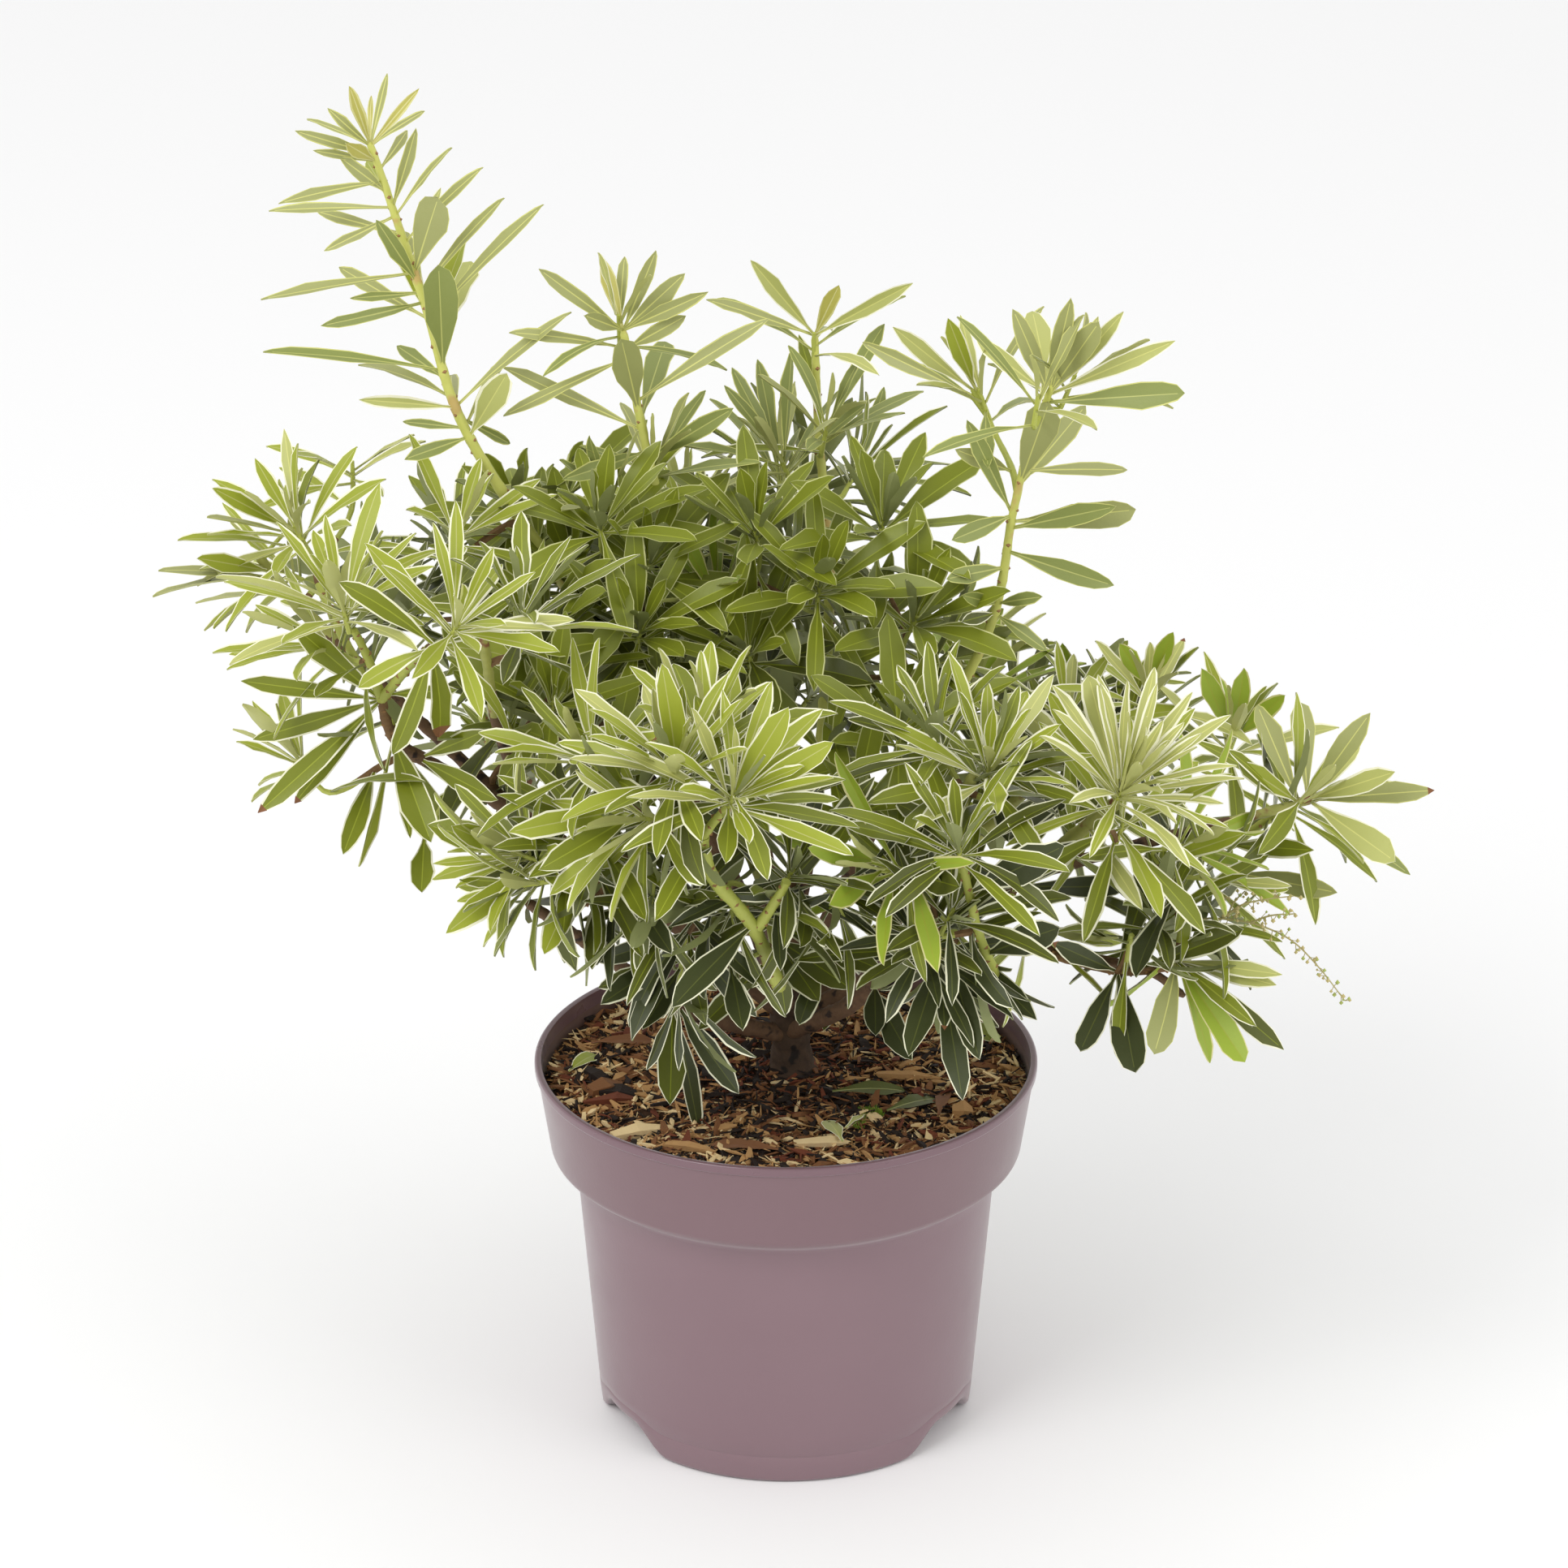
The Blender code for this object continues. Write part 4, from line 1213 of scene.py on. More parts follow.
# Stems that show
# Where the crown is open, single stems are told apart, such as the thick green one at the front that forks
# under two whorls. Each has its mass, its radii at foot and tip in millimetres, 1 for green bark, whether
# it starts on a limb or forks from one before, and its pixels, each so far in front of its mass.
OWN, FORK = 0, 1
STEM_SCAR_SEED, SHOOT_SCAR_SEED = 300, 400
SHOWN_STEMS = (
    ("front_main", 3.3, 2.6, 1, OWN, (
        (958, 1212, -35), (950, 1190, -26), (931, 1147, -14), (905, 1112, -8), (881, 1086, -4),
        (868, 1050, 0), (866, 1031, 2),
    )),
    ("front_main", 2.5, 1.9, 1, FORK, (
        (931, 1147, -14), (948, 1122, -10), (962, 1100, -6), (969, 1086, -4),
    )),
    ("front_main", 2.1, 1.6, 1, FORK, ((866, 1031, 2), (880, 1012, 12), (898, 992, 22))),
    ("front_main", 2.1, 1.6, 1, FORK, ((866, 1031, 2), (852, 1000, 6), (836, 962, 9))),
    ("front_left", 2.1, 1.5, 1, FORK, ((866, 1031, 2), (836, 1022, 8), (806, 1013, 13))),
    ("left_under", 2.6, 2.2, 0, OWN, ((500, 930, -20), (480, 900, -8), (470, 862, 0))),
    ("left_under", 2.3, 1.6, 1, FORK, ((470, 862, 0), (455, 815, 8), (436, 776, 22))),
    ("left_under", 2.3, 1.6, 1, FORK, ((470, 862, 0), (500, 826, 20), (528, 798, 44))),
    ("left_under", 2.2, 1.6, 1, FORK, ((470, 862, 0), (425, 790, -12), (392, 720, -34))),
    ("right_hanging", 2.1, 1.5, 0, OWN, (
        (1300, 1178, -10), (1345, 1190, 0), (1385, 1198, 6), (1430, 1194, 4), (1467, 1188, 0),
    )),
    ("right_outer", 2.3, 1.8, 1, OWN, ((1520, 1040, -6), (1560, 1012, 0), (1597, 994, 4))),
    ("front_right", 2.3, 1.8, 1, OWN, (
        (1226, 1200, -20), (1206, 1150, -8), (1194, 1100, 2), (1184, 1058, 8),
    )),
    ("front_left_low", 2.0, 1.5, 0, OWN, ((740, 1090, -10), (700, 1075, -4), (664, 1062, 0))),
    ("inner_left", 2.0, 1.5, 1, OWN, ((600, 900, 20), (590, 860, 18), (600, 800, 10))),
)


def middle_of(mass):
    low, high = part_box(mass)
    return (low + high) / 2, (high - low) / 2


def make_shown_stems():
    for number, (mass, foot, tip, slot, forked, pixels) in enumerate(SHOWN_STEMS):
        depth = middle_of(mass)[0].y
        route = [seen_at(px, py, depth - forward * MM) / MM for px, py, forward in pixels]
        line = smooth_route([tuple(point) for point in route], 3 * MM)
        if not forked:
            start, start_way = best_carrier(line[0])[:2]
            if (start - line[0]).length > 4 * MM:
                lead = bend_between(start, (line[0] - start).normalized() * 0.6 + start_way * 0.4, line[0],
                                    (line[1] - line[0]).normalized(), 8)
                line = lead[:-1] + line
        count = len(line)
        radii = [MM * (foot + (tip - foot) * index / (count - 1)) * (1.12 if index % 4 == 2 else 1.0)
                 for index in range(count)]
        add_tube(twigs, line, radii, 10, [slot] * (count - 1))
        carriers.append({"name": "shown_stem_%d" % number, "line": line, "radii": radii})
        add_scars(line, radii, STEM_SCAR_SEED + number)


def add_scars(line, radii, seed):
    """Leaf scars: small half-round bumps in a spiral up a young stem."""
    chance = random.Random(seed)
    for index in range(1, len(line) - 1):
        way = (line[index + 1] - line[index - 1]).normalized()
        out_way = way_round(way, index * GOLDEN_ANGLE)
        middle = line[index] + out_way * radii[index] * 0.92
        across = way.cross(out_way)
        wide, tall = chance.uniform(0.9, 1.5) * MM, chance.uniform(0.7, 1.1) * MM
        points = [middle + across * wide, middle + way * tall,
                  middle - across * wide, middle - way * tall * 1.3,
                  middle + out_way * 0.9 * MM - way * 0.2 * MM, middle - out_way * 0.8 * MM]
        faces = [(4, 0, 1), (4, 1, 2), (4, 2, 3), (4, 3, 0), (5, 1, 0), (5, 2, 1), (5, 3, 2), (5, 0, 3)]
        add_shape(twigs, np.array(points), faces, 2)


make_shown_stems()
for shoot in [carrier for carrier in carriers if carrier["name"].endswith("shoot")]:
    green = slice(len(shoot["line"]) // 3, None, 3)
    add_scars(shoot["line"][green], shoot["radii"][green], SHOOT_SCAR_SEED)

# Whorls of the crown
# Where each shoot tip shows, mass by mass: its pixel, how many millimetres it stands in front of the middle
# of its mass, its lean in the picture (0 up, 90 right), how far it turns to the viewer, its tone and the
# number of its leaves. More whorls fill the inside and the hidden sides.
WHORLS = {
    "second_tip": ((762, 388, 0, -2, 12, "bright", 5),),
    "second_low": ((806, 566, 0, 5, 10, "mid", 9), (745, 612, 10, -15, 15, "mid", 8),),
    "third_tip": ((1003, 410, 0, 0, 8, "bright", 7),),
    "third_low": ((1020, 520, 0, 10, 10, "mid", 12), (960, 560, 0, -20, 10, "mid", 12),),
    "right_tip": ((1279, 486, 10, 5, 15, "bright", 6), (1325, 462, -15, 22, 0, "bright", 6),),
    "right_tip_side": ((1206, 480, 0, -18, 8, "bright", 8),),
    "left_outer": ((362, 648, 10, -25, 10, "bright", 16), (345, 700, -10, -60, 0, "mid", 10),),
    "left_top": ((434, 568, 0, 0, 5, "bright", 13),),
    "left_shoulder": ((566, 650, 0, 15, 10, "mid", 14),),
    "left_middle": ((421, 742, 10, -10, 10, "bright", 18),),
    "left_front": ((566, 768, 10, 28, 30, "bright", 17),),
    "left_droop": ((490, 930, 0, 170, 10, "deep", 8),),
    "inner_left": (
        (706, 700, 20, 0, 25, "deep", 14), (640, 620, 0, -10, 15, "mid", 12),
        (700, 600, -20, 10, 10, "mid", 10),
    ),
    "inner_low": ((682, 864, 15, 10, 30, "deep", 12), (620, 880, 0, -20, 20, "deep", 10),),
    "centre_left": (
        (788, 774, 25, 5, 30, "deep", 14), (740, 640, 10, 0, 20, "mid", 13),
        (800, 690, 0, 10, 20, "mid", 12),
    ),
    "centre_right": (
        (930, 650, 10, -8, 15, "mid", 13), (1010, 720, 25, 5, 25, "mid", 14),
        (1090, 640, 0, 12, 12, "mid", 13), (1130, 760, 20, 20, 25, "mid", 13),
        (920, 800, 30, -12, 30, "deep", 12),
    ),
    "centre_front": ((1052, 994, 20, 0, 30, "deep", 12), (1110, 900, 0, 10, 20, "mid", 12),),
    "front_main": (
        (830, 941, 10, -8, 12, "bright", 19), (906, 975, 25, 18, 22, "bright", 19),
        (868, 900, -25, 5, 5, "bright", 14),
    ),
    "front_left": ((788, 1008, 15, -75, 20, "bright", 15), (720, 930, -10, -40, 10, "bright", 13),),
    "front_left_low": (
        (637, 1050, 0, -60, 10, "bright", 12), (640, 1092, 15, -95, 10, "bright", 11),
        (756, 1092, -10, 200, 10, "dark", 6),
    ),
    "front_skirt": (
        (978, 1071, 10, 25, 25, "deep", 12), (830, 1110, 0, -30, 30, "deep", 9),
        (800, 1125, 15, 190, 20, "deep", 6), (905, 1140, 5, 170, 20, "deep", 6),
        (1040, 1130, 5, 150, 15, "deep", 7),
    ),
    "front_droop": ((835, 1235, 10, 185, 10, "deep", 7),),
    "front_right": (
        (1181, 1038, 10, -5, 15, "mid", 13), (1175, 1120, 0, 20, 20, "deep", 10),
        (1091, 1068, 0, -60, 30, "fresh", 6),
    ),
    "front_right_top": ((1219, 945, 0, 5, 15, "bright", 17), (1150, 905, -20, -25, 5, "mid", 12),),
    "front_right_droop": ((1168, 1190, 10, 180, 15, "dark", 9),),
    "right_bright": ((1389, 965, 15, 24, 16, "cream", 34), (1385, 1010, 0, 10, 30, "bright", 8),),
    "right_back_top": (
        (1314, 876, 0, -5, 5, "bright", 8), (1416, 849, 0, 5, 5, "light", 9),
        (1517, 910, 0, 10, 8, "bright", 11),
    ),
    "right_outer": ((1605, 985, 5, 40, 15, "bright", 10),),
    "right_lower": ((1470, 1040, 0, 75, 10, "fresh", 10), (1500, 1085, -10, 95, 5, "bright", 6),),
    "right_hanging": ((1467, 1190, 0, 165, 5, "fresh", 2), (1385, 1200, 15, 190, 10, "mid", 3),),
    "right_under": ((1290, 1150, 10, 120, 10, "bright", 6),),
}
WHORL_SEED, OLD_WHORL_SEED, HIDDEN_SEED = 1000, 5000, 77
MORE_WHORLS = {
    "left_top": 1, "left_shoulder": 1, "left_middle": 1, "left_front": 1, "left_under": 1, "inner_left": 2,
    "inner_low": 2, "centre_left": 2, "centre_right": 2, "centre_front": 2, "third_low": 2, "front_left": 1,
    "front_right": 1, "right_back_top": 1, "right_lower": 1, "back_left_top": 6, "back_left_low": 5,
    "back_top": 7, "back_middle": 6, "back_right": 6,
}


def picture_way(lean, facing):
    """A direction from its lean in the picture and its turn to the viewer, in degrees."""
    lean, facing = math.radians(lean), math.radians(facing)
    return Vector((math.sin(lean) * math.cos(facing), -math.sin(facing), math.cos(lean) * math.cos(facing)))


def all_whorls():
    """Every whorl as mass, place, direction, tone and leaf count: those that show, then the others."""
    chance = random.Random(HIDDEN_SEED)
    found = []
    for mass, rows in WHORLS.items():
        depth = middle_of(mass)[0].y
        for px, py, forward, lean, facing, tone, count in rows:
            place = seen_at(px, py, depth - forward * MM)
            found.append((mass, place, picture_way(lean, facing), tone, count))
    for mass, extra in MORE_WHORLS.items():
        middle, half = middle_of(mass)
        outward = Vector((middle.x * 0.9, middle.y, 0))
        outward = (outward.normalized() * 0.55 + Vector((0, 0, 0.8))).normalized()
        back = mass.startswith("back")
        for number in range(extra):
            best, best_room = None, -1.0
            for attempt in range(40):
                ball = Vector([chance.uniform(-1, 1) for axis in range(3)])
                if not back:
                    ball.y = abs(ball.y) * 0.9
                place = middle + Vector([ball[axis] * half[axis] * 0.5 for axis in range(3)])
                room = min((place - other[1]).length for other in found)
                if room > best_room:
                    best, best_room = place, room
            stray = Vector([chance.gauss(0, 0.15) for axis in range(3)])
            way = outward + 0.9 * (best - middle) / max(half) + stray
            tones = ("mid", "bright", "mid", "fresh") if best.z > middle.z else ("mid", "deep", "mid")
            tone = chance.choice(tones)
            found.append((mass, best, way.normalized(), tone, chance.randint(13, 17)))
    return found


def grow_crown():
    """Twigs and whorls, the nearest to the limbs first, so that later twigs can branch from earlier ones."""
    waiting = all_whorls()
    places = carrier_points(LIMBS)[0]
    waiting.sort(key=lambda whorl: float(np.linalg.norm(places - np.array(whorl[1]), axis=1).min()))
    for number, (mass, place, way, tone, count) in enumerate(waiting):
        pixel = pixel_of(place)
        if not inside_outline(*pixel) or in_sky_gap(*pixel):
            continue
        foot = place - way * BARE_TIP
        line = grow_twig("twig_%03d" % number, foot, way, TWIG_FOOT, TWIG_TIP * 1.1,
                         0.0 if region_of(mass) == "shoots" else 0.45)
        straight = [foot + way * 4 * MM * step for step in range(5)]
        add_tube(twigs, straight, [TWIG_TIP * (1.12 - 0.08 * step) for step in range(5)], TWIG_SIDES, [1] * 4)
        add_whorl(mass, [*line, *straight[1:]], way, tone, count, seed=WHORL_SEED + number)
        if number % 3 == 0 and region_of(mass) != "shoots":
            turn = len(line) // 2
            old_way = (line[min(turn + 1, len(line) - 1)] - line[turn - 1]).normalized()
            add_old_whorl(mass, line[turn], old_way, 6, 0.95, OLD_WHORL_SEED + number)


grow_crown()

# Leaves seen one by one
# The leaves of the long shoots, and those that hang below or cross a gap, where each leaf is told apart in
# the photograph. Each goes from the pixel of its base to that of its tip, with its width in millimetres and
# its tone. A leaf that looks shorter than it is comes forward, or goes back where it says FAR.
NEAR, FAR = 1, -1
SINGLE_LEAVES = {
    "tall_tip": (
        (448, 175, 432, 109, 9, "young"), (453, 156, 456, 114, 4, "young", FAR),
        (463, 168, 477, 89, 5, "soft", FAR), (466, 175, 514, 111, 6, "young"),
        (445, 175, 406, 137, 7, "soft"), (452, 185, 377, 143, 5, "soft", FAR),
        (452, 190, 369, 164, 8, "soft"), (456, 203, 428, 178, 10, "young"), (453, 200, 389, 186, 6, "soft"),
        (459, 239, 421, 195, 10, "bright"), (469, 216, 504, 159, 7, "soft", FAR),
        (477, 255, 512, 165, 9, "bright"), (488, 261, 552, 181, 6, "bright"),
        (467, 181, 526, 132, 5, "soft", FAR), (463, 262, 329, 257, 7, "bright", FAR),
        (462, 232, 348, 245, 6, "bright"), (462, 283, 399, 309, 7, "bright"),
        (473, 300, 384, 259, 8, "bright", FAR),
    ),
    "tall_middle": (
        (498, 337, 539, 245, 17, "bright"), (500, 330, 544, 228, 8, "cream", FAR),
        (494, 300, 588, 205, 7, "bright"), (508, 365, 614, 242, 7, "bright"),
        (521, 400, 664, 250, 8, "bright"), (544, 455, 541, 331, 17, "mid"),
        (530, 430, 583, 317, 12, "cream", FAR), (488, 342, 321, 367, 7, "bright"),
        (510, 398, 411, 326, 10, "bright", FAR), (491, 372, 431, 368, 6, "mid", FAR),
        (505, 385, 400, 402, 9, "mid"), (497, 350, 466, 275, 11, "mid"),
    ),
    "tall_low": (
        (532, 458, 325, 427, 8, "mid"), (552, 503, 445, 492, 9, "cream"),
        (561, 532, 494, 519, 6, "mid", FAR), (566, 497, 698, 379, 8, "bright"),
        (575, 535, 622, 465, 13, "cream"), (545, 470, 487, 424, 9, "mid", FAR),
        (570, 545, 500, 565, 10, "mid"), (560, 520, 632, 548, 7, "mid", FAR),
    ),
    "second_tip": (
        (770, 440, 620, 510, 8, "bright"), (765, 425, 633, 406, 7, "bright"),
        (773, 510, 766, 419, 15, "bright"), (785, 433, 842, 391, 10, "bright"),
        (775, 400, 868, 362, 9, "bright"), (762, 414, 721, 389, 9, "bright"),
        (758, 385, 742, 318, 9, "young", FAR), (768, 384, 808, 311, 9, "bright"),
        (772, 388, 842, 339, 10, "bright"), (755, 390, 668, 335, 9, "bright"),
    ),
    "second_low": (
        (788, 533, 620, 452, 8, "bright"), (783, 490, 945, 391, 8, "bright"),
        (800, 520, 822, 412, 13, "mid", FAR), (805, 560, 900, 505, 11, "mid"),
        (798, 560, 700, 590, 10, "mid"),
    ),
    "third_tip": (
        (998, 405, 926, 322, 10, "bright"), (1006, 402, 1033, 353, 9, "young"),
        (1010, 408, 1121, 351, 9, "bright"), (998, 412, 873, 368, 8, "bright"),
    ),
    "right_middle": (
        (1256, 645, 1398, 629, 14, "bright"), (1256, 650, 1372, 625, 10, "mid"),
        (1266, 688, 1369, 722, 11, "mid"), (1256, 599, 1292, 499, 16, "bright"),
        (1262, 598, 1339, 499, 11, "bright", FAR), (1290, 585, 1395, 577, 7, "bright", FAR),
        (1229, 625, 1175, 665, 9, "mid"), (1229, 622, 1192, 520, 9, "mid"),
        (1239, 587, 1180, 555, 9, "bright"), (1226, 698, 1170, 712, 9, "mid"),
        (1245, 760, 1289, 800, 7, "mid"), (1240, 745, 1280, 735, 7, "mid"),
        (1225, 745, 1190, 735, 7, "mid"), (1222, 755, 1188, 765, 7, "deep"),
    ),
    "right_tip": (
        (1277, 482, 1272, 373, 12, "bright", FAR), (1283, 480, 1319, 370, 11, "bright"),
        (1290, 482, 1352, 400, 12, "bright"), (1292, 485, 1383, 388, 10, "bright"),
        (1295, 488, 1448, 420, 10, "bright"), (1295, 498, 1458, 484, 12, "mid"),
        (1272, 485, 1199, 416, 10, "bright", FAR), (1276, 480, 1252, 386, 11, "bright"),
    ),
    "right_tip_side": (
        (1202, 478, 1169, 396, 11, "bright"), (1198, 480, 1103, 406, 10, "bright"),
        (1196, 486, 1060, 421, 9, "bright", FAR),
    ),
    "left_under": (
        (465, 860, 364, 774, 13, "deep"), (462, 858, 298, 839, 10, "deep"),
        (458, 868, 319, 1002, 12, "deep"), (462, 872, 360, 990, 10, "deep"),
        (462, 868, 311, 912, 11, "deep", FAR), (480, 860, 563, 850, 9, "mid"),
    ),
    "left_droop": (
        (482, 904, 530, 1035, 16, "mid"), (474, 957, 425, 1047, 11, "deep"),
        (500, 930, 549, 1028, 10, "mid", FAR), (523, 1031, 519, 1096, 12, "deep"),
        (510, 945, 610, 985, 10, "mid"), (515, 945, 598, 901, 9, "mid"),
    ),
    "right_hanging": (
        (1467, 1188, 1428, 1291, 14, "soft"), (1467, 1188, 1533, 1306, 13, "fresh"),
        (1467, 1190, 1498, 1314, 7, "fresh", FAR), (1472, 1186, 1545, 1262, 8, "mid"),
        (1472, 1184, 1583, 1293, 10, "deep", FAR), (1474, 1182, 1577, 1200, 8, "cream"),
        (1410, 1185, 1528, 1146, 12, "deep"), (1482, 1178, 1571, 1213, 9, "cream"),
        (1385, 1198, 1331, 1295, 12, "dark"), (1385, 1198, 1397, 1318, 15, "dark"),
        (1385, 1198, 1428, 1043, 15, "deep", FAR), (1385, 1198, 1300, 1163, 10, "dark"),
    ),
    "right_outer": (
        (1607, 980, 1602, 862, 12, "bright", FAR), (1602, 980, 1548, 866, 11, "bright", FAR),
        (1612, 980, 1684, 884, 11, "bright"), (1614, 984, 1715, 952, 10, "bright"),
        (1616, 986, 1769, 973, 10, "bright"), (1614, 990, 1715, 1058, 14, "bright"),
        (1612, 992, 1738, 1078, 8, "mid", FAR), (1600, 980, 1527, 940, 10, "bright"),
    ),
    "right_lower": (
        (1428, 1058, 1529, 1027, 10, "bright"), (1500, 1060, 1610, 1047, 10, "mid"),
        (1520, 1075, 1645, 1099, 11, "soft"),
    ),
    "front_droop": (
        (832, 1228, 826, 1357, 14, "deep"), (838, 1228, 906, 1345, 12, "dark"),
        (836, 1230, 864, 1400, 9, "dark", FAR), (906, 1151, 830, 1236, 14, "dark"),
        (927, 1177, 862, 1267, 10, "deep"),
    ),
    "front_skirt": (
        (960, 1155, 1007, 1231, 13, "deep"), (962, 1150, 1045, 1214, 14, "deep"),
        (965, 1145, 1085, 1195, 13, "deep"), (868, 1029, 809, 1130, 10, "mid"),
        (830, 1172, 742, 1236, 12, "dark"), (806, 1180, 738, 1216, 10, "deep"),
        (837, 1200, 793, 1266, 10, "dark"), (900, 1190, 915, 1268, 11, "dark"),
        (1010, 1190, 985, 1262, 11, "dark"), (960, 1180, 968, 1250, 9, "deep", FAR),
        (1053, 1200, 1119, 1299, 13, "dark"), (1071, 1205, 1079, 1273, 11, "dark"),
        (1024, 1196, 1016, 1266, 9, "deep"), (1075, 1141, 1174, 1172, 14, "dark"),
        (1097, 1060, 1178, 1092, 13, "deep"), (785, 1112, 826, 1172, 11, "dark"),
    ),
    "front_right_droop": (
        (1169, 1186, 1121, 1297, 12, "dark"), (1172, 1188, 1186, 1355, 12, "dark"),
        (1170, 1186, 1165, 1265, 8, "dark"), (1175, 1186, 1205, 1300, 12, "dark"),
        (1175, 1180, 1210, 1230, 10, "dark"), (1200, 1170, 1275, 1255, 10, "dark"),
    ),
    "front_main": (
        (828, 935, 818, 823, 12, "bright"), (900, 960, 906, 819, 12, "bright", FAR),
        (910, 965, 969, 874, 12, "bright"), (915, 972, 1024, 916, 12, "bright"),
    ),
    "front_left": (
        (780, 1008, 666, 1071, 12, "mid"), (780, 1005, 628, 1025, 12, "bright"),
    ),
    "front_left_low": (
        (632, 1055, 553, 1147, 12, "bright"), (630, 1048, 561, 1021, 11, "bright"),
        (745, 1115, 735, 1188, 11, "dark"), (708, 1090, 672, 1172, 12, "bright"),
        (752, 1105, 728, 1190, 10, "deep"), (700, 1085, 694, 1150, 9, "mid"),
    ),
    "front_right": (
        (1215, 1090, 1308, 1043, 16, "dark"), (1207, 1182, 1300, 1144, 15, "dark"),
        (1086, 1062, 1000, 1045, 11, "fresh"), (1086, 1073, 1024, 1114, 11, "fresh"),
        (1107, 1083, 1152, 1190, 10, "fresh"),
    ),
    "right_bright": (
        (1345, 1020, 1405, 1116, 9, "cream"), (1385, 955, 1343, 834, 12, "cream"),
        (1378, 955, 1238, 853, 12, "cream"), (1382, 952, 1292, 853, 11, "bright"),
    ),
    "right_back_top": (
        (1314, 870, 1308, 795, 9, "fresh"), (1416, 845, 1443, 783, 9, "fresh"),
        (1414, 845, 1381, 795, 9, "fresh"), (1515, 905, 1482, 826, 10, "fresh"),
        (1516, 905, 1498, 830, 10, "fresh", FAR), (1520, 905, 1533, 826, 10, "fresh"),
        (1522, 908, 1583, 857, 10, "fresh"),
    ),
    "left_outer": (
        (350, 708, 187, 722, 2, "soft"), (346, 703, 197, 697, 3, "soft"), (352, 672, 222, 657, 3, "bright"),
        (352, 655, 256, 635, 3, "soft"), (345, 738, 239, 735, 2, "soft", FAR),
        (350, 692, 249, 688, 9, "bright"), (355, 650, 264, 602, 9, "bright"),
    ),
}
PIXELS_PER_MM = 2.68
TWIG_FROM = 12 * MM
SEEN_SHORTEST = 30 * MM
SEEN_LONGEST = 58 * MM
EDGE_ON_WIDTH = 9.5
BLUNT_FROM = 12
SINGLE_SEED = 9000
SLIMMER = {"tall_tip": 0.7, "tall_middle": 0.76, "tall_low": 0.76, "second_tip": 0.82, "second_low": 0.85,
           "third_tip": 0.85, "right_tip": 0.85, "right_tip_side": 0.85, "left_under": 0.9}
# Masses whose leaves are dealt paler, greyer greens: painted light and painted reflection.
SOFT_MASSES = ("tall_tip", "tall_middle", "tall_low", "second_tip", "second_low", "right_middle")
PALE_MASSES = ("right_tip", "right_tip_side", "right_outer", "third_tip")
FILLED_SHOOTS = {"tall_low": 0.93, "tall_middle": 0.45}
BROWN_TIPPED = {(319, 1002), (360, 990), (1769, 973), (1165, 1265), (1300, 1163)}


def nearest_on_sight(px, py, near_place):
    """The carrier point whose pixel is nearest to the one asked for, among those near a place."""
    places = carrier_points()[0]
    way = np.array(line_of_sight(px, py))
    offsets = places - np.array(CAMERA_AT)
    along = offsets @ way
    aside = np.linalg.norm(offsets - along[:, None] * way, axis=1)
    away = np.linalg.norm(places - np.array(near_place), axis=1)
    index = int(np.argmin(aside + 0.12 * away))
    return Vector(places[index]), float(aside[index])


def tip_on_sight(base, px, py, length, side=NEAR):
    """A leaf's tip that shows at a pixel, nearer or farther than its base, and how long the leaf is then."""
    way = line_of_sight(px, py)
    offset = base - CAMERA_AT
    along = offset.dot(way)
    closest = CAMERA_AT + along * way
    gap = (closest - base).length
    if gap >= length:
        return closest, gap
    return closest - side * way * math.sqrt(length ** 2 - gap ** 2), length


def add_single_leaves():
    number = 0
    for mass, rows in SINGLE_LEAVES.items():
        middle = middle_of(mass)[0]
        store = leaves[region_of(mass)]
        for bx, by, tx, ty, width, tone, *back in rows:
            number += 1
            chance = random.Random(SINGLE_SEED + number)
            carrier, aside = nearest_on_sight(bx, by, middle)
            base = seen_at(bx, by, carrier.y) if aside > TWIG_FROM else carrier
            if aside > TWIG_FROM:
                ahead = (base - carrier).normalized()
                line = bend_between(carrier, ahead, base, ahead, 4)
                add_tube(twigs, line, [TWIG_TIP * 0.9] * 5, TWIG_SIDES, [1] * 4)
            seen_length = math.hypot(tx - bx, ty - by) / PIXELS_PER_MM * MM
            length = max(seen_length * 1.02, min(SEEN_LONGEST, max(seen_length * 1.35, SEEN_SHORTEST)))
            tip, length = tip_on_sight(base, tx, ty, length, *back)
            way = tip - base
            viewer = (CAMERA_AT - base).normalized()
            flat = (viewer - viewer.dot(way) * way / way.length_squared).normalized()
            aside_way = way.normalized().cross(flat)
            if aside_way.z < 0:
                aside_way = -aside_way
            true_width = max(width, min(EDGE_ON_WIDTH, 0.14 * length / MM))
            turn = math.acos(min(1.0, width / true_width)) + chance.gauss(0, 0.12)
            face = math.cos(turn) * flat + math.sin(turn) * aside_way
            blunt = width >= BLUNT_FROM and region_of(mass) in ("shoots", "right")
            true_width *= 1.0 if blunt else SLIMMER.get(mass, 1.0)
            bend = chance.gauss(0.12, 0.07)
            # Paler, greyer greens on the shoots and the top right, and a lighter green at the left: painted
            # light.
            if mass in SOFT_MASSES:
                tone = {"bright": "soft", "mid": "olive"}.get(tone, tone)
            elif mass in PALE_MASSES:
                tone = {"bright": chance.choice(("light", "soft", "bright")), "mid": "olive"}.get(tone, tone)
            elif region_of(mass) == "left":
                tone = {"deep": "mid"}.get(tone, tone)
            brown = 1.0 if (tx, ty) in BROWN_TIPPED else 0.0
            add_leaf(store, chance, base, way + face * length * bend * 0.45, face, length, true_width * MM,
                     tone, bend=bend, fold=chance.uniform(0.1, 0.35), brown=brown,
                     twist=chance.gauss(0, 0.12), blunt=blunt)
        if mass in FILLED_SHOOTS:
            fill_shoot(mass, store, FILLED_SHOOTS[mass])


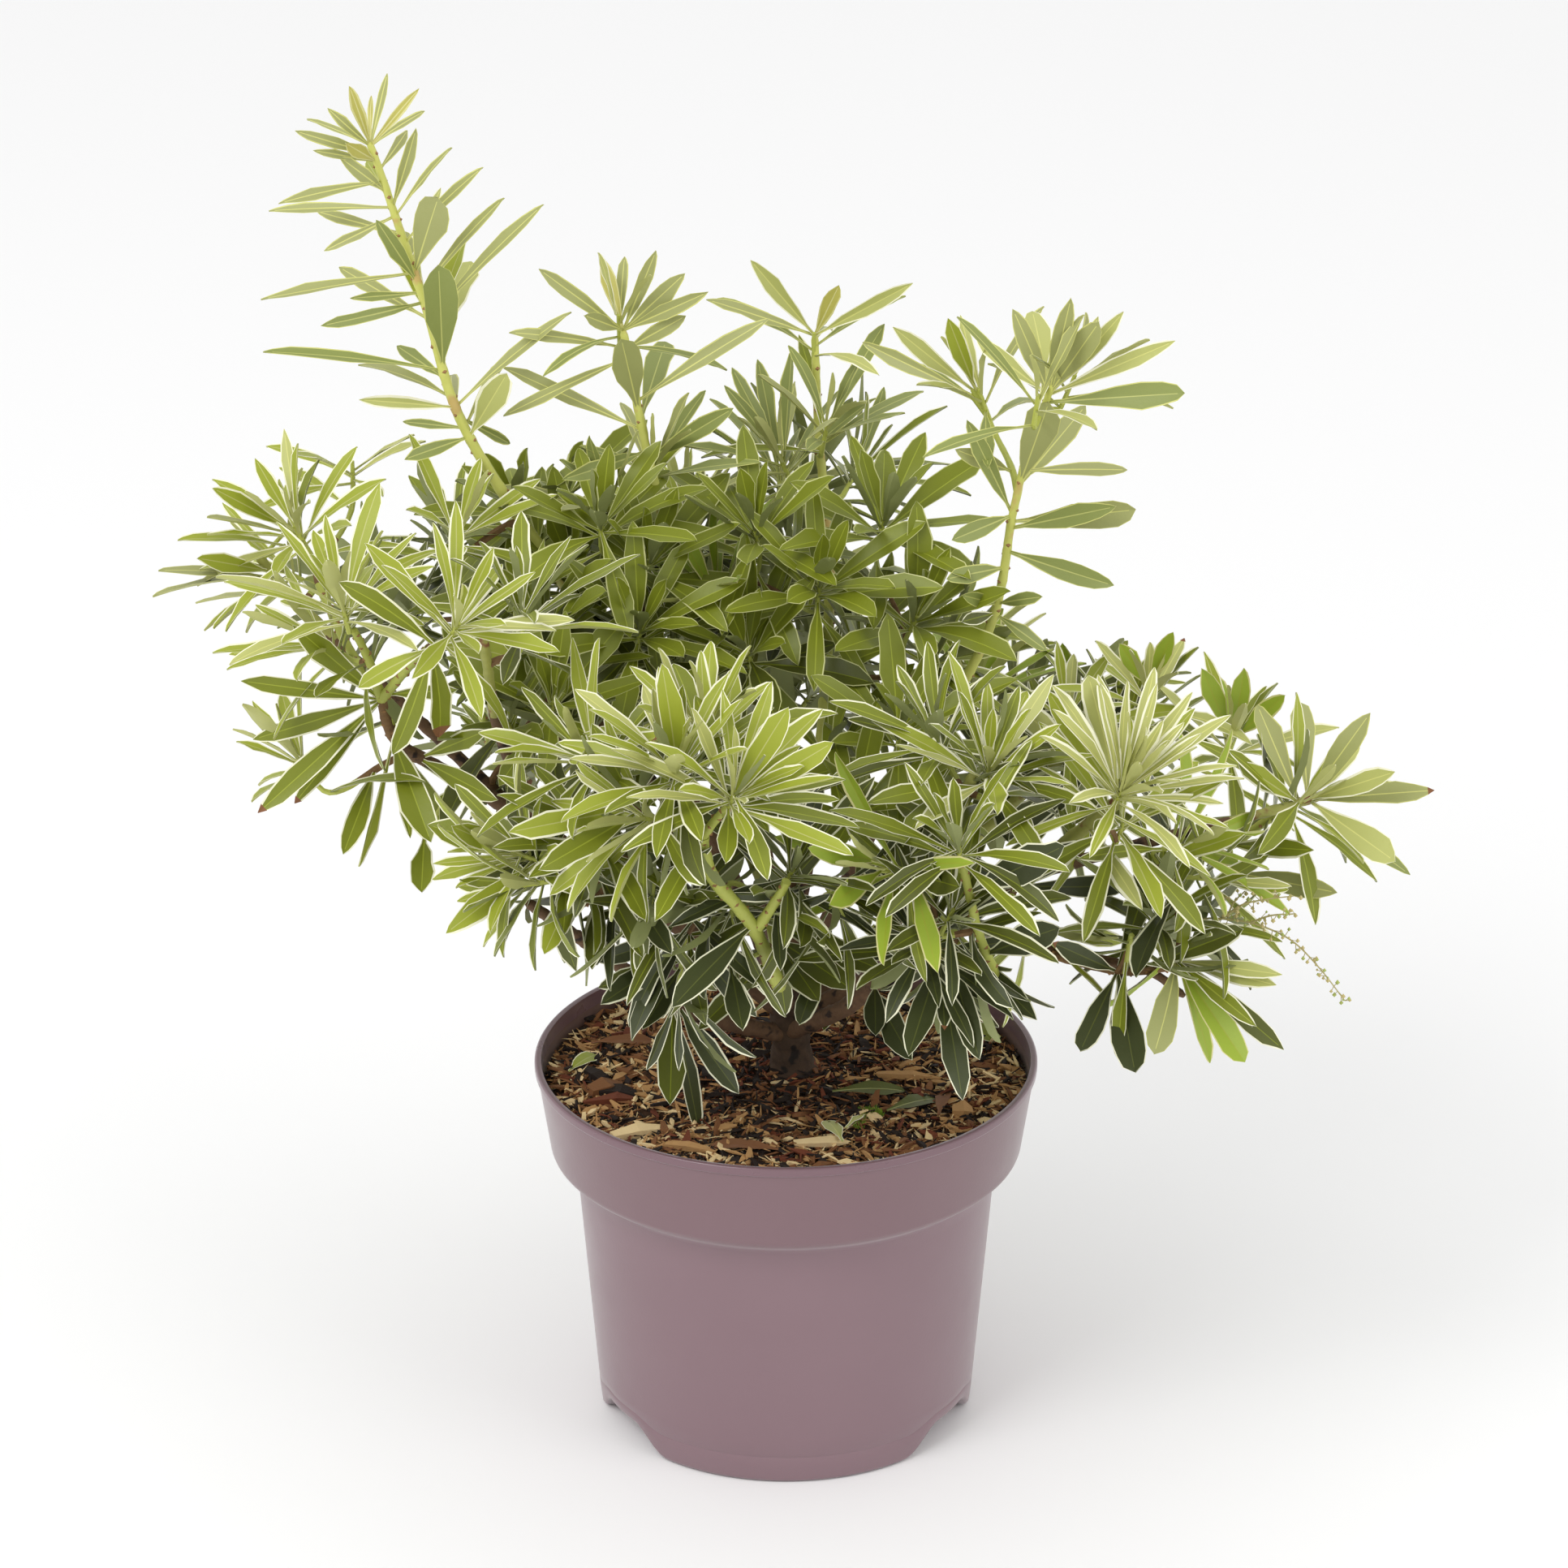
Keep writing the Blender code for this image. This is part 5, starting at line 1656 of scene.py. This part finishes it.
def fill_shoot(mass, store, aside):
    """Leaves behind and round a long shoot, between those that show; aside is how far they may stick out."""
    carrier = next(carrier for carrier in carriers if carrier["name"] == "tall_shoot")
    low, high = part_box(mass)
    chance = random.Random(len(mass) * 17)
    line = [point for point in carrier["line"] if low.z - 0.002 < point.z < high.z - 0.012]
    for index in range(0, len(line) - 1, 3):
        way = (line[index + 1] - line[index]).normalized()
        round_way = way_round(way, index * GOLDEN_ANGLE)
        if round_way.y < -0.2 or abs(round_way.x) > aside:
            continue
        lean = math.radians(chance.uniform(40, 78))
        heading, upper = leaning_out(way, round_way, lean)
        length = chance.uniform(36, 52) * MM
        # The soft greens here are painted light, as on the shoot's other leaves.
        add_leaf(store, chance, line[index], heading, upper, length, length * chance.uniform(0.16, 0.22),
                 chance.choice(("soft", "bright")), bend=chance.gauss(0.2, 0.08), fold=0.3)


add_single_leaves()

# Leaf and twig pieces
# The leaves of each part of the crown are one joined piece, and replace the masses that they fill. Their waxy
# skin has a faint grain and no pattern of colour. All twigs are one more piece, brown, green and scarred.
REGION_MASSES = {
    "shoots": ("tall_tip", "tall_middle", "tall_low", "second_tip", "second_low", "third_tip", "third_low",
               "right_tip", "right_tip_side", "right_middle"),
    "left": ("left_outer", "left_top", "left_shoulder", "left_middle", "left_front", "left_under",
             "left_droop"),
    "inside": ("inner_left", "inner_low", "centre_left", "centre_right", "centre_front"),
    "front": ("front_main", "front_left", "front_left_low", "front_skirt", "front_droop", "front_right",
              "front_right_top", "front_right_droop"),
    "right": ("right_bright", "right_back_top", "right_outer", "right_lower", "right_hanging", "right_under"),
    "back": ("back_left_top", "back_left_low", "back_top", "back_middle", "back_right"),
}
leaf_looks = [plain_matter("leaf_" + look_name, linear(*colour), roughness, 420, 0.3)
              for look_name, colour, roughness in LEAF_LOOKS]
for leaf_look in leaf_looks:
    leaf_look.node_tree.nodes["Principled BSDF"].inputs["Specular IOR Level"].default_value = LEAF_SPECULAR


def make_leaves():
    for region, masses in REGION_MASSES.items():
        piece = join_store("leaves_" + region, leaves[region], leaf_looks)
        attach(piece, "root")
        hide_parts(*masses)


def make_twigs():
    young = plain_matter("twig_green", linear(176, 182, 84), 0.5, 420, 1.0)
    old = rough_matter("twig_bark", linear(104, 74, 52), linear(142, 112, 72), 500, 0.6)
    scar = plain_matter("twig_scar", linear(150, 112, 68), 0.7, 500, 0.5)
    piece = join_store("twigs", twigs, [old, young, scar])
    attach(piece, "root")


make_twigs()
make_leaves()

# Dry flower stalk
# Last year's flowers left one thin stalk at the right: a drooping tan-green thread with short side threads,
# each set with dry seed cases no larger than a pinhead. It hangs from the nearest twig.
STALK_SEED = 12
STALK = ((1505, 1132, 0), (1545, 1138, 4), (1590, 1158, 6), (1625, 1192, 6), (1657, 1233, 4))
STALK_SIDES = (
    ((1505, 1132, 0), (1530, 1115, 6), (1560, 1108, 8), (1594, 1104, 10)),
    ((1512, 1130, 0), (1520, 1112, -6), (1534, 1098, -8)),
    ((1540, 1137, 4), (1566, 1128, 10), (1596, 1126, 12)),
)


def add_seed_case(store, middle, radius, chance):
    """A small pointed eight-sided drop."""
    ring = [middle + Vector((math.cos(turn), math.sin(turn), 0)) * radius
            for turn in (0, math.pi / 2, math.pi, 3 * math.pi / 2)]
    points = [*ring, middle + Vector((0, 0, radius * 1.4)), middle - Vector((0, 0, radius))]
    faces = [(0, 1, 4), (1, 2, 4), (2, 3, 4), (3, 0, 4), (1, 0, 5), (2, 1, 5), (3, 2, 5), (0, 3, 5)]
    add_shape(store, np.array(points), faces, chance.choice((1, 1, 2)))


def make_stalk():
    chance = random.Random(STALK_SEED)
    store = new_store()
    depth = middle_of("right_lower")[0].y
    start, start_way = best_carrier(seen_at(STALK[0][0], STALK[0][1], depth))[:2]
    for number, pixels in enumerate((STALK, *STALK_SIDES)):
        route = [tuple(seen_at(px, py, depth - forward * MM) / MM) for px, py, forward in pixels]
        line = smooth_route(route, 3 * MM)
        if number == 0:
            line = bend_between(start, start_way, line[0], (line[1] - line[0]).normalized(), 8)[:-1] + line
        add_tube(store, line, [0.55 * MM - 0.3 * MM * index / len(line) for index in range(len(line))], 5,
                 [0] * (len(line) - 1))
        for index in range(8 if number == 0 else 2, len(line)):
            for side in range(2):
                reach = Vector((chance.gauss(0, 1), chance.gauss(0, 1), chance.gauss(-0.2, 1))).normalized()
                end = line[index] + reach * chance.uniform(1.5, 4.5) * MM
                add_tube(store, [line[index], end], [0.2 * MM, 0.15 * MM], 4, [0])
                add_seed_case(store, end, chance.uniform(0.6, 1.15) * MM, chance)
    looks = [plain_matter("stalk_thread", linear(170, 160, 104), 0.7, 900, 0.4),
             plain_matter("seed_case_tan", linear(190, 176, 120), 0.7, 900, 0.6),
             plain_matter("seed_case_green", linear(168, 178, 98), 0.7, 900, 0.6)]
    piece = join_store("dry_flower_stalk", store, looks)
    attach(piece, "root")


make_stalk()

# Fallen leaves
# A few leaves have dropped on the mulch: bright, pale, dull or brown blades, nearly flat on the chips.
# Each has its pixel, its heading in degrees, its length and width in millimetres, and its tone.
FALLEN_SEED = 600
FALLEN_LEAVES = (
    (715, 1318, 60, 24, 9, "bright"),
    (1062, 1350, 8, 34, 11, "fallen"),
    (1120, 1368, 34, 30, 13, "fallen"),
    (1030, 1402, 106, 25, 9, "light"),
    (1052, 1390, 62, 19, 4, "light"),
    (1160, 1368, 82, 28, 8, "brown"),
    (925, 1420, 165, 32, 11, "brown"),
    (1195, 1270, -55, 30, 12, "mid"),
    (760, 1290, 10, 30, 9, "brown"),
)


def make_fallen_leaves():
    store = new_store()
    for number, (px, py, heading, length, width, tone) in enumerate(FALLEN_LEAVES):
        chance = random.Random(FALLEN_SEED + number)
        turn = math.radians(heading)
        way = Vector((math.cos(turn), math.sin(turn), 0.10))
        base = on_soil(px, py) + Vector((0, 0, 4.5 * MM)) - way * length * 0.4 * MM
        dry = tone == "brown"
        add_leaf(store, chance, base, way, Vector((0, -0.15, 1)), length * MM, width * MM,
                 "mid" if dry else tone, bend=0.22, fold=0.15, brown=0.0)
        if dry:
            store["slots"][-len(LEAF_FACES):] = [LEAF_SLOT["brown_tip"]] * len(LEAF_FACES)
    piece = join_store("fallen_leaves", store, leaf_looks)
    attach(piece, "root")


make_fallen_leaves()
